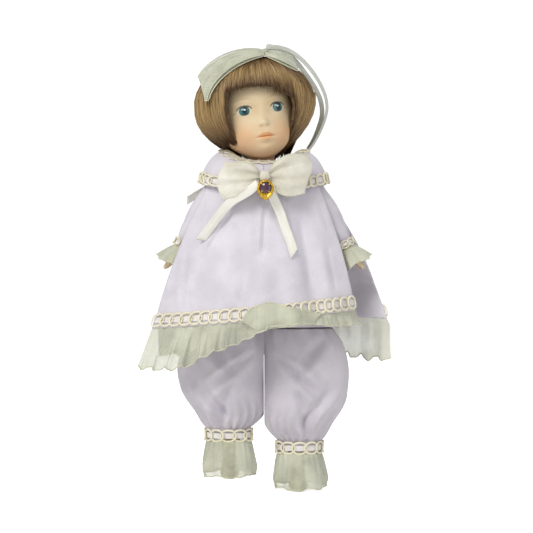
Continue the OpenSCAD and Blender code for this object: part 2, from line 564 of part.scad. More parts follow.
// The bisque forearm, its groove and its mitten hand with the thumb to the front
module forearm_piece() color("bisque") arm_frame() translate([0, 0, -upper_arm]) {
    sphere(r = elbow_r);
    rotate_extrude() polygon([[0, 0], [elbow_r, 0], [elbow_r, -4.1], [elbow_r - 1, -4.6], [elbow_r - 1, -6.4],
        [elbow_r, -6.9], [wrist_r, -wrist_down], [wrist_r, -wrist_down - 2], [0, -wrist_down - 2]]);
    translate([0, 0, -wrist_down - 1]) rotate([0, 14, 0]) solid_of([
        for (s = [[0, 2.4, 2.6], [0.12, 2.4, 3.2], [0.35, 2.6, 4.6], [0.55, 2.4, 4.8], [0.8, 2, 4.2],
                [0.94, 1.6, 3], [1, 0.8, 1.4]])
            oval(0, -0.4, -s[0] * hand_long, s[1], s[2], 14)]);
    translate([0.5, -3.6, -wrist_down - 4]) rotate([-24, 0, 0]) {
        translate([0, 0, -6]) cylinder(r = 1.5, h = 6);
        translate([0, 0, -6]) sphere(r = 1.5);
    }
}
module arm_tie() color("white") arm_frame() translate([0, 0, -upper_arm - 5.5]) tie(elbow_r - 1);
module sleeve() color("thistle") arm_frame() {
    foot = upper_arm + wrist_down - 3;
    stops = [[7.2, sleeve_r - 5], [6, sleeve_r - 3.4], [3, sleeve_r - 1.4], [-2, sleeve_r - 0.5],
        [-10, sleeve_r], [-foot * 0.6, sleeve_r + 0.4], [-foot * 0.85, sleeve_r - 1], [-foot, sleeve_r - 2.2]];
    cloth_of([for (s = stops) oval(0, 0, s[0], s[1], s[1], 20)],
        [for (s = stops) oval(0, 0, s[0], s[1] - 0.8, s[1] - 0.8, 20)], closed = true);
}
cuff_top = -upper_arm - wrist_down + 3 - gap;
cuff_braid_h = braid_h * 0.6;
module cuff_braid() color("cornsilk") arm_frame() {
    cloth_of([for (z = [cuff_top, cuff_top - cuff_braid_h]) oval(0, 0, z, sleeve_r - 1.4, sleeve_r - 1.4, 20)],
        [for (z = [cuff_top, cuff_top - cuff_braid_h])
            oval(0, 0, z, sleeve_r - 1.4 - braid_t, sleeve_r - 1.4 - braid_t, 20)], closed = true);
}
module cuff_ruffle() {
    top = cuff_top - cuff_braid_h - gap;
    function rings(off) = [for (t = [0, 0.35, 0.7, 1]) oval(0, 0, top - 12 * t,
        mix(sleeve_r - 2.2, sleeve_r + 4, t) - off, mix(sleeve_r - 2.2, sleeve_r + 4, t) - off, 42, t * 1.2, 7)];
    color("honeydew") arm_frame() cloth_of(rings(0), rings(organza), closed = true);
}

// ---- pieces ---------------------------------------------------------------------------------------------

head_shell();
crown_pate();
wig_cap();
wig();
hair_bow();
hair_bow_knot();
hair_ribbon_long();
hair_ribbon_short();
shoulder_plate();
neck_bolt();
neck_washer();
neck_spring();
neck_nut();
cloth_body();
smock_front();
smock_back();
hem_braid_front();
hem_braid_back();
hem_ruffle_front();
hem_ruffle_back();
collar();
collar_braid();
neck_lace();
chest_bow_left();
chest_bow_right();
chest_bow_knot();
ribbon_tail_left();
ribbon_tail_right();
back_ribbon();
brooch_setting();
brooch_gem();
back_snaps();
bloomer_seat();
waist_elastic();
upper_arm_piece();  // left_upper_arm
forearm_piece();  // left_forearm
arm_tie();  // left_arm_tie
sleeve();  // left_sleeve
cuff_braid();  // left_cuff_braid
cuff_ruffle();  // left_cuff_ruffle
right_side() upper_arm_piece();  // right_upper_arm
right_side() forearm_piece();  // right_forearm
right_side() arm_tie();  // right_arm_tie
right_side() sleeve();  // right_sleeve
right_side() cuff_braid();  // right_cuff_braid
right_side() cuff_ruffle();  // right_cuff_ruffle
thigh(0);  // left_thigh
leg(0);  // left_leg
leg_tie(0);  // left_leg_tie
bloomer(0);  // left_bloomer
ankle_braid(0);  // left_ankle_braid
ankle_ruffle(0);  // left_ankle_ruffle
right_side() thigh(right_lift);  // right_thigh
right_side() leg(right_lift);  // right_leg
right_side() leg_tie(right_lift);  // right_leg_tie
right_side() bloomer(right_lift);  // right_bloomer
right_side() ankle_braid(right_lift);  // right_ankle_braid
right_side() ankle_ruffle(right_lift);  // right_ankle_ruffle
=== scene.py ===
# %% [markdown]
# # A porcelain doll
# The doll is an assembly of bisque porcelain, stuffed cotton, woven cloth, organza, braid and ribbon. Its
# measured frame comes first: every body and every hard piece is already in place, in metres, with the
# waist at the origin, the doll's left towards +X and its face towards -Y. Everything below is built on it.

# %% Load the measured frame
import json
import bmesh
import bpy
import numpy as np
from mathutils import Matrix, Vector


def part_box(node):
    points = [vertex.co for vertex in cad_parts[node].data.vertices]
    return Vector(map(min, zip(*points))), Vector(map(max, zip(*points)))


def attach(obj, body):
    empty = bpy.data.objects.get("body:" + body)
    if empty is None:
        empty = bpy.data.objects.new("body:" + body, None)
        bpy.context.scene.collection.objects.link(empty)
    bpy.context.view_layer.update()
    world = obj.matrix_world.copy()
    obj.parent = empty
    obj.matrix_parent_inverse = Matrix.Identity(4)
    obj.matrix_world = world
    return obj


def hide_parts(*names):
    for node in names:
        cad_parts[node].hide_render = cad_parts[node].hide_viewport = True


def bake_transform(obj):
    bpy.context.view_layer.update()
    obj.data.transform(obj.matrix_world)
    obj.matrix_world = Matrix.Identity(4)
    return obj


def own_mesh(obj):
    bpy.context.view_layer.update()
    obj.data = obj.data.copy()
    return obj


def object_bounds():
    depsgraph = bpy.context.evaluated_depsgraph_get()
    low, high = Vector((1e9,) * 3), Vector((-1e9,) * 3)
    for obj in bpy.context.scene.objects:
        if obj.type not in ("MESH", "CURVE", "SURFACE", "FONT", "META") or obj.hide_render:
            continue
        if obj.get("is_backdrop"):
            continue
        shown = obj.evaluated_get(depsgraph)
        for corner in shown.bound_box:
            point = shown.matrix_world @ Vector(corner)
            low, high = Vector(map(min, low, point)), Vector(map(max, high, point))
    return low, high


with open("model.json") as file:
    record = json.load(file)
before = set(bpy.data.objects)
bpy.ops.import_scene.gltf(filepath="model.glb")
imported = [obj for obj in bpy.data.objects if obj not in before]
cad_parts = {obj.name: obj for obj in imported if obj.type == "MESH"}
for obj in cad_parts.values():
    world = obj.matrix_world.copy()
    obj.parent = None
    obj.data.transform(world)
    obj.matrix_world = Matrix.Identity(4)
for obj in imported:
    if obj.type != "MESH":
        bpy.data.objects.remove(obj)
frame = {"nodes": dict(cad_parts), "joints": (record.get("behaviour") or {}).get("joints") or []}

cad_box = [list(map(float, corner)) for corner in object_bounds()]
joints = {j["name"]: j for j in frame["joints"]}
place = {name: np.array(j["pos_m"]) * 1000 for name, j in joints.items()}
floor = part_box("left_leg")[0][2] * 1000
NECK, SHOULDER, HIP = place["head_turn"], place["left_shoulder"], place["left_hip"]
print("sole at", round(floor, 1), "mm, neck ball at", NECK.round(1), "mm")

# %% [markdown]
# ## Small tools
# Most pieces here are grids of points worked out as whole arrays: rows down the piece and columns across
# it. Sizes are easier to read in millimetres, so shapes are made in millimetres and scaled once at the end.
# A Catmull-Rom curve passes smoothly through given points, which suits profiles and ribbon routes.

# %% Curves and tables
def read(pairs, x):
    """The value at x, read straight between [at, value] pairs."""
    at, value = np.array(sorted(pairs), float).T
    return np.interp(x, at, value)


def curve(pairs, x):
    """The value at x on a smooth curve through [at, value] pairs."""
    line = smooth(pairs, 300)
    return np.interp(x, line[:, 0], line[:, 1])


def ease(t):
    """0 before 0, 1 after 1, and 3t^2 - 2t^3 between."""
    t = np.clip(t, 0, 1)
    return t * t * (3 - 2 * t)


def mix(a, b, t):
    return a + (b - a) * t


def smooth(points, count):
    """Catmull-Rom through the points: the slope at each is half of the chord between its neighbours."""
    p = np.asarray(points, float)
    p = np.concatenate([[2 * p[0] - p[1]], p, [2 * p[-1] - p[-2]]])
    s = np.linspace(0, len(p) - 3 - 1e-9, count)
    i, t = s.astype(int), (s % 1)[:, None]
    a, b, c, d = p[i], p[i + 1], p[i + 2], p[i + 3]
    return 0.5 * (2 * b + (c - a) * t + (2 * a - 5 * b + 4 * c - d) * t**2 + (3 * b - 3 * c + d - a) * t**3)


def length_of(path):
    return float(np.linalg.norm(np.diff(path, axis=0), axis=1).sum())


def unit(v):
    return v / np.maximum(np.linalg.norm(v, axis=-1, keepdims=True), 1e-9)


def turned(p, lean=0.0, turn=0.0, at=(0, 0, 0)):
    """Turned about Z by turn, then about Y by lean, in degrees, then moved to at."""
    a, b = np.radians(turn), np.radians(lean)
    x, y, z = np.moveaxis(np.asarray(p, float), -1, 0)
    x, y = x * np.cos(a) - y * np.sin(a), x * np.sin(a) + y * np.cos(a)
    x, z = x * np.cos(b) + z * np.sin(b), -x * np.sin(b) + z * np.cos(b)
    return np.stack([x, y, z], -1) + np.asarray(at, float)


def mirrored(p):
    return np.asarray(p) * [-1, 1, 1]


LEAN, TURN = -8.5, 10.0
ARM = -29.0
print("the head leans", -LEAN, "degrees and turns", TURN)

# %% [markdown]
# ## From grid to piece
# A grid becomes quads by joining each point to its neighbours. Rows that go down and columns that go from
# left to right, seen from outside, turn the faces outwards. The UV map holds real millimetres along the
# cloth, so a weave keeps its size wherever it is used.

# %% The mesh maker
def grid_part(grid, wrap=False, caps=False, uv=None, finish=0, flip=False):
    """One or more grids of points (rows, columns), with the last column joined to the first where it wraps.
    UV is the length along the rows and down the columns, in millimetres, unless it is given."""
    g = np.asarray(grid, float)
    g = g[None] if g.ndim == 3 else g
    pieces, rows, cols = g.shape[:3]
    if uv is None:
        around = np.concatenate([g, g[:, :, :1]], 2) if wrap else g
        u = np.linalg.norm(np.diff(around, axis=2), axis=3).mean(1, keepdims=True)
        u = np.concatenate([np.zeros_like(u[:, :, :1]), np.cumsum(u, 2)], 2)
        v = np.linalg.norm(np.diff(g, axis=1), axis=3).mean(2, keepdims=True)
        v = np.concatenate([np.zeros_like(v[:, :1]), np.cumsum(v, 1)], 1)
        uv = np.stack(np.broadcast_arrays(u, v), -1)
    uv = np.asarray(uv, float)
    uv = uv[None] if uv.ndim == 3 else uv
    return dict(grid=g, wrap=wrap, caps=caps, uv=uv, finish=finish, flip=flip)


def faces_of(part, start):
    """Corner numbers and their UVs: each quad joins (row, column) to the next row and the next column."""
    g, wrap = part["grid"], part["wrap"]
    pieces, rows, cols = g.shape[:3]
    across = cols if wrap else cols - 1
    k, i, j = np.meshgrid(np.arange(pieces), np.arange(rows - 1), np.arange(across), indexing="ij")
    at = lambda a, b: start + (k * rows + a) * cols + b % cols
    quads = np.stack([at(i, j), at(i + 1, j), at(i + 1, j + 1), at(i, j + 1)], -1).reshape(-1, 4)
    step = lambda a, b: part["uv"][k, a, b]
    uvs = np.stack([step(i, j), step(i + 1, j), step(i + 1, j + 1), step(i, j + 1)], -2).reshape(-1, 4, 2)
    if part["flip"]:
        quads, uvs = quads[:, ::-1], uvs[:, ::-1]
    return quads, uvs


def put_together(parts):
    """Points, faces, UVs and finishes of a list of parts as one mesh's arrays."""
    points, faces, uvs, finishes, start = [], [], [], [], 0
    for part in parts:
        g = part["grid"]
        quads, uv = faces_of(part, start)
        faces += quads.tolist()
        uvs.append(uv.reshape(-1, 2))
        finishes += [part["finish"]] * len(quads)
        if part["caps"]:
            pieces, rows, cols = g.shape[:3]
            ring = start + np.arange(pieces)[:, None] * rows * cols + np.arange(cols)
            ends = [ring, (ring + (rows - 1) * cols)[:, ::-1]]
            for end, row in zip(ends, (0, rows - 1)):
                end = end[:, ::-1] if part["flip"] else end
                faces += end.tolist()
                uvs.append(np.repeat(part["uv"][:, row, :1], cols, 1).reshape(-1, 2))
                finishes += [part["finish"]] * len(end)
        points.append(g.reshape(-1, 3))
        start += g[..., 0].size
    return np.concatenate(points), faces, np.concatenate(uvs), finishes


def piece(name, parts, finishes, body=None, stands_for=(), thick=0.0, smooth_faces=True, weld=False):
    """A mesh object from parts, riding on a body and standing for CAD nodes. thick is a wall inwards, in mm.
    weld joins the first and last rows of rings that close on themselves."""
    parts = parts if isinstance(parts, list) else [parts]
    points, faces, uvs, kinds = put_together(parts)
    mesh = bpy.data.meshes.new(name)
    mesh.from_pydata((points * 0.001).tolist(), [], faces)
    layer = mesh.uv_layers.new(name="UVMap")
    layer.data.foreach_set("uv", uvs.astype(np.float32).ravel())
    for finish in finishes:
        mesh.materials.append(finish)
    mesh.polygons.foreach_set("material_index", kinds)
    mesh.polygons.foreach_set("use_smooth", [smooth_faces] * len(faces))
    mesh.validate()
    if weld:
        joined = bmesh.new()
        joined.from_mesh(mesh)
        bmesh.ops.remove_doubles(joined, verts=joined.verts, dist=1e-6)
        joined.to_mesh(mesh)
        joined.free()
    obj = bpy.data.objects.new(name, mesh)
    bpy.context.scene.collection.objects.link(obj)
    if thick:
        wall = obj.modifiers.new("wall", "SOLIDIFY")
        wall.thickness, wall.offset = thick * 0.001, -1
    if stands_for:
        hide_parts(*([stands_for] if isinstance(stands_for, str) else stands_for))
    if body:
        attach(obj, body)
    made.append((name, len(faces)))
    return obj


made = []


def ring_tube(path, across, out, width, height, sides=6):
    """A tube along a path: an ellipse of half-width width across it and half-height height outwards."""
    a = np.linspace(0, 2 * np.pi, sides, endpoint=False)
    w, h = (np.asarray(v, float)[..., None, None] for v in (width, height))
    return (np.asarray(path)[..., None, :] + across[..., None, :] * w * np.cos(a)[:, None]
            + out[..., None, :] * h * np.sin(a)[:, None])


def tube(path, out, width, height=None, sides=6):
    """A cord along a path whose outward direction is known, so that it never twists."""
    path = np.asarray(path, float)
    ahead = unit(np.gradient(path, axis=-2))
    across = unit(np.cross(ahead, np.broadcast_to(out, path.shape)))
    up = np.cross(across, ahead)
    return ring_tube(path, across, up, width, width if height is None else height, sides)


print("mesh maker ready")


# %% [markdown]
# ## Camera, floor and light
# A long lens from straight in front, at the height of the waist, keeps the doll's proportions true. The
# doll stands on a plain pale floor that runs into a white surround. Porcelain and pale cloth need broad,
# soft light, so the lamps are large panels: one high at the left as the main light, one to fill, one behind.

# %% Camera
def looking(obj, at):
    from mathutils import Vector
    obj.rotation_euler = (Vector(at) - obj.location).to_track_quat("-Z", "Y").to_euler()


eye = bpy.data.cameras.new("front_eye")
eye.lens, eye.sensor_width = 100, 36
camera = bpy.data.objects.new("front_eye", eye)
bpy.context.scene.collection.objects.link(camera)
camera.location = (0.0016, -0.965, -0.0012)
looking(camera, (0.0016, 0, -0.0012))
bpy.context.scene.camera = camera
bpy.context.scene.view_settings.view_transform = "Standard"
print("camera", round(-camera.location.y, 3), "m in front")

# %% Lamps and surround
def panel(name, at, size, power, warmth=(1, 1, 1)):
    lamp = bpy.data.lights.new(name, "AREA")
    lamp.shape, lamp.size, lamp.energy, lamp.color = "SQUARE", size, power, warmth
    obj = bpy.data.objects.new(name, lamp)
    bpy.context.scene.collection.objects.link(obj)
    obj.location = at
    looking(obj, (0, 0, 0.02))
    return obj


panel("main_panel", (-0.75, -1.15, 1.05), 0.8, 15, (1.0, 0.985, 0.96))
panel("fill_panel", (1.1, -1.2, 0.25), 1.2, 4)
panel("back_panel", (0.3, 1.3, 1.0), 1.0, 7)
world = bpy.data.worlds.new("white_room")
bpy.context.scene.world = world
world.use_nodes = True
sky = world.node_tree
seen, strength = sky.nodes.new("ShaderNodeLightPath"), sky.nodes.new("ShaderNodeMapRange")
strength.inputs["To Min"].default_value, strength.inputs["To Max"].default_value = 0.44, 1.1
sky.links.new(seen.outputs["Is Camera Ray"], strength.inputs["Value"])
sky.links.new(strength.outputs["Result"], sky.nodes["Background"].inputs["Strength"])
sky.nodes["Background"].inputs["Color"].default_value = (1, 1, 1, 1)
print("three panels and a white surround")

# %% [markdown]
# ## Finishes
# A finish is a small network of nodes. The parts that several finishes share, threads crossing, a soft
# mottle and long fine strands, are node groups with their own sizes, built once. Each finish then mixes
# its own colours with them and feeds a bump, because real cloth is never one flat colour.

# %% Node tools
def colour(r, g, b):
    """A colour given as it looks on a screen, 0 to 255, as the linear value that light needs."""
    c = np.array([r, g, b]) / 255
    return (*np.where(c <= 0.04045, c / 12.92, ((c + 0.055) / 1.055) ** 2.4).tolist(), 1.0)


def add(tree, kind, inputs=None, **settings):
    """A node, with its settings and its inputs given as values or as the outputs that feed them."""
    node = tree.nodes.new("ShaderNode" + kind)
    for key, value in settings.items():
        setattr(node, key, value)
    for key, value in (inputs or {}).items():
        if isinstance(value, bpy.types.NodeSocket):
            tree.links.new(value, node.inputs[key])
        else:
            node.inputs[key].default_value = value
    return node


def sums(tree, operation, a, b=0.0, c=0.0):
    return add(tree, "Math", {0: a, 1: b, 2: c}, operation=operation).outputs[0]


def blendc(tree, mask, a, b):
    """Colour a where the mask is 0 and b where it is 1."""
    return add(tree, "Mix", {0: mask, 6: a, 7: b}, data_type="RGBA").outputs[2]


def step(tree, value, low, high, to_low=0.0, to_high=1.0):
    """A soft step of the value, from to_low below low to to_high above high."""
    return add(tree, "MapRange", {0: value, 1: low, 2: high, 3: to_low, 4: to_high},
               interpolation_type="SMOOTHSTEP").outputs[0]


def group(name, inputs, outputs):
    tree = bpy.data.node_groups.new(name, "ShaderNodeTree")
    for title, kind, start in inputs:
        socket = tree.interface.new_socket(title, in_out="INPUT", socket_type="NodeSocket" + kind)
        if start is not None:
            socket.default_value = start
    for title, kind in outputs:
        tree.interface.new_socket(title, in_out="OUTPUT", socket_type="NodeSocket" + kind)
    return tree, tree.nodes.new("NodeGroupInput"), tree.nodes.new("NodeGroupOutput")


print("node tools ready")

# %% Shared groups: woven threads, soft mottle and long strands
def make_threads():
    """Height is half of 1 + sin(x) sin(y), so bumps lie like the crossings of a plain weave."""
    tree, source, sink = group("woven_threads", [("Vector", "Vector", None), ("Pitch", "Float", 0.6)],
                               [("Height", "Float"), ("Tone", "Float")])
    turns = sums(tree, "DIVIDE", np.pi, source.outputs["Pitch"])
    scaled = add(tree, "VectorMath", {0: source.outputs["Vector"], 3: turns}, operation="SCALE")
    axes = add(tree, "SeparateXYZ", {0: scaled.outputs[0]})
    crossing = sums(tree, "MULTIPLY", sums(tree, "SINE", axes.outputs[0]),
                    sums(tree, "SINE", axes.outputs[1]))
    long_way = add(tree, "Mapping", {0: source.outputs["Vector"], 3: (0.25, 1.6, 1)})
    cross_way = add(tree, "Mapping", {0: source.outputs["Vector"], 3: (1.6, 0.25, 1)})
    slubs = [add(tree, "TexNoise", {"Vector": way.outputs[0], "Scale": 1.0, "Detail": 2.0}).outputs[0]
             for way in (long_way, cross_way)]
    tree.links.new(sums(tree, "MULTIPLY_ADD", crossing, 0.5, 0.5), sink.inputs["Height"])
    tree.links.new(sums(tree, "MULTIPLY", sums(tree, "ADD", *slubs), 0.5), sink.inputs["Tone"])
    return tree


def make_mottle():
    """A soft cloudy mask whose clouds are about Size across."""
    tree, source, sink = group("soft_mottle", [("Vector", "Vector", None), ("Size", "Float", 0.02)],
                               [("Mask", "Float")])
    scale = sums(tree, "DIVIDE", 1.0, source.outputs["Size"])
    cloud = add(tree, "TexNoise", {"Vector": source.outputs["Vector"], "Scale": scale, "Detail": 4.0})
    tree.links.new(step(tree, cloud.outputs[0], 0.32, 0.68), sink.inputs["Mask"])
    return tree


def make_strands():
    """Noise drawn out along the second axis, as fibres lie in hair, satin or thread."""
    tree, source, sink = group("long_strands", [("Vector", "Vector", None), ("Across", "Float", 0.4),
                               ("Along", "Float", 20.0)], [("Tone", "Float"), ("Height", "Float")])
    axes = add(tree, "SeparateXYZ", {0: source.outputs["Vector"]})
    x = sums(tree, "DIVIDE", axes.outputs[0], source.outputs["Across"])
    y = sums(tree, "DIVIDE", axes.outputs[1], source.outputs["Along"])
    drawn = add(tree, "CombineXYZ", {0: x, 1: y})
    fine = add(tree, "TexNoise", {"Vector": drawn.outputs[0], "Scale": 1.0, "Detail": 3.0})
    tree.links.new(step(tree, fine.outputs[0], 0.3, 0.7), sink.inputs["Tone"])
    tree.links.new(fine.outputs[0], sink.inputs["Height"])
    return tree


GROUPS = {"threads": make_threads(), "mottle": make_mottle(), "strands": make_strands()}
print("shared groups:", sorted(GROUPS))


def placed(tree, kind, **inputs):
    node = tree.nodes.new("ShaderNodeGroup")
    node.node_tree = GROUPS[kind]
    for key, value in inputs.items():
        if isinstance(value, bpy.types.NodeSocket):
            tree.links.new(value, node.inputs[key])
        else:
            node.inputs[key].default_value = value
    return node


def blank(name):
    """A new finish with its Principled shader, the object's coordinates and the piece's UV."""
    mat = bpy.data.materials.new(name)
    mat.use_nodes = True
    tree = mat.node_tree
    where = tree.nodes.new("ShaderNodeTexCoord")
    return mat, tree, tree.nodes["Principled BSDF"], where.outputs["Object"], where.outputs["UV"]


def bumped(tree, shader, height, distance, strength=1.0):
    bump = add(tree, "Bump", {"Height": height, "Distance": distance, "Strength": strength})
    tree.links.new(bump.outputs[0], shader.inputs["Normal"])


# %% [markdown]
# ## Woven cloths
# The smock and the bloomers are a plain weave, the organza a sheer one that lets light through between its
# threads, and satin a weave whose long floats make it shine along its length. One maker serves them all,
# with the pitch of the threads in millimetres.

# %% Cloth finishes
def woven(name, dark, light, pitch, roughness=0.75, sheen=0.35, depth=0.00012, sheer=None, clouds=0.02):
    """The light colour on raised threads and the dark one between them and in soft clouds."""
    mat, tree, shader, spot, uv = blank(name)
    weave = placed(tree, "threads", Vector=uv, Pitch=pitch)
    cloud = placed(tree, "mottle", Vector=spot, Size=clouds)
    tone = sums(tree, "MULTIPLY_ADD", weave.outputs["Height"], 0.45, sums(
        tree, "MULTIPLY_ADD", weave.outputs["Tone"], 0.35, sums(tree, "MULTIPLY", cloud.outputs[0], 0.3)))
    tree.links.new(blendc(tree, step(tree, tone, 0.15, 0.85), dark, light), shader.inputs["Base Color"])
    shader.inputs["Roughness"].default_value = roughness
    shader.inputs["Sheen Weight"].default_value = sheen
    shader.inputs["Sheen Roughness"].default_value = 0.5
    height = sums(tree, "MULTIPLY_ADD", weave.outputs["Tone"], 0.6, weave.outputs["Height"])
    bumped(tree, shader, height, depth, 0.6)
    if sheer is not None:
        low, high = sheer
        tree.links.new(step(tree, tone, 0.1, 0.8, low, high), shader.inputs["Alpha"])
    return mat


def strandy(name, dark, light, across, along, roughness=0.35, sheen=0.2, depth=0.00008, specular=0.5,
            anisotropic=0.0):
    """Long strands along the piece's second UV axis, from the dark colour to the light one."""
    mat, tree, shader, spot, uv = blank(name)
    fibres = placed(tree, "strands", Vector=uv, Across=across, Along=along)
    cloud = placed(tree, "mottle", Vector=spot, Size=0.012)
    tone = sums(tree, "MULTIPLY_ADD", cloud.outputs[0], 0.25,
                sums(tree, "MULTIPLY", fibres.outputs["Tone"], 0.75))
    tree.links.new(blendc(tree, tone, dark, light), shader.inputs["Base Color"])
    shader.inputs["Roughness"].default_value = roughness
    shader.inputs["Sheen Weight"].default_value = sheen
    shader.inputs["Specular IOR Level"].default_value = specular
    shader.inputs["Anisotropic"].default_value = anisotropic
    bumped(tree, shader, fibres.outputs["Height"], depth, 0.7)
    return mat


lilac_weave = woven("lilac_weave", colour(204, 198, 210), colour(232, 228, 236), 0.55)
bloomer_weave = woven("bloomer_weave", colour(190, 183, 194), colour(218, 212, 221), 0.6, 0.6, 0.5)
sage_organza = woven("sage_organza", colour(178, 182, 156), colour(218, 220, 198), 0.5, 0.6, 0.25,
                     sheer=(0.5, 0.92))
ivory_organza = woven("ivory_organza", colour(216, 211, 190), colour(248, 245, 233), 0.5, 0.6, 0.25,
                      sheer=(0.72, 0.97))
muslin = woven("muslin", colour(196, 184, 160), colour(232, 224, 206), 0.8, 0.9, 0.2)
gathered_elastic = woven("gathered_elastic", colour(206, 202, 190), colour(240, 238, 230), 0.9, 0.8, 0.2)
satin_ribbon = strandy("satin_ribbon", colour(224, 221, 208), colour(250, 249, 242), 0.3, 25, 0.28, 0.3)
pale_ribbon = strandy("pale_ribbon", colour(186, 190, 178), colour(224, 226, 218), 0.3, 25, 0.38, 0.3)
braid_thread = strandy("braid_thread", colour(236, 226, 190), colour(254, 250, 230), 0.35, 3.0, 0.55, 0.3,
                       0.0002)
pearl_satin = strandy("pearl_satin", colour(222, 216, 214), colour(250, 247, 246), 0.25, 20, 0.25, 0.3)
rolled_thread = strandy("rolled_thread", colour(196, 196, 168), colour(228, 228, 206), 0.3, 1.5, 0.6, 0.2,
                        0.00015)
linen_cord = strandy("linen_cord", colour(206, 198, 176), colour(238, 232, 216), 0.3, 2.0, 0.6, 0.2, 0.0002)
print("cloths:", len(bpy.data.materials))

# %% [markdown]
# ## Bisque and its face paint
# Bisque is porcelain fired without a glaze: matt, faintly waxy, with flesh colour in the clay and the face
# painted on by hand. The head's UV map holds the millimetres across and up the face, so each eye, lip and
# cheek is a soft-edged oval at its own place. The two eyes share one drawing, mirrored by the sign of x.

# %% Bisque finishes
SKIN, SKIN_SHADE = colour(228, 207, 171), colour(214, 188, 146)
EYE_X, EYE_Z = 10.8, 38.1


def oval_mask(tree, x, z, cx, cz, wide, high, soft):
    """1 inside the oval round (cx, cz), 0 outside, over a share soft of its size."""
    dx = sums(tree, "DIVIDE", sums(tree, "SUBTRACT", x, cx), wide)
    dz = sums(tree, "DIVIDE", sums(tree, "SUBTRACT", z, cz), high)
    away = sums(tree, "SQRT", sums(tree, "ADD", sums(tree, "MULTIPLY", dx, dx),
                                   sums(tree, "MULTIPLY", dz, dz)))
    return step(tree, away, 1 - soft, 1 + soft, 1, 0)


def bisque(name):
    mat, tree, shader, spot, uv = blank(name)
    cloud = placed(tree, "mottle", Vector=spot, Size=0.011)
    speck = add(tree, "TexNoise", {"Vector": spot, "Scale": 2400.0, "Detail": 2.0})
    skin = blendc(tree, sums(tree, "MULTIPLY", cloud.outputs[0], 0.35), SKIN, SKIN_SHADE)
    shader.inputs["Subsurface Weight"].default_value = 0.12
    shader.inputs["Subsurface Radius"].default_value = (0.003, 0.0015, 0.0008)
    shader.inputs["Roughness"].default_value = 0.5
    shader.inputs["Specular IOR Level"].default_value = 0.35
    bumped(tree, shader, speck.outputs[0], 0.00002, 0.5)
    return mat, tree, shader, skin, uv


plain_bisque, tree, shader, skin, _ = bisque("plain_bisque")
tree.links.new(skin, shader.inputs["Base Color"])
print("bisque for the hands, feet and shoulders")

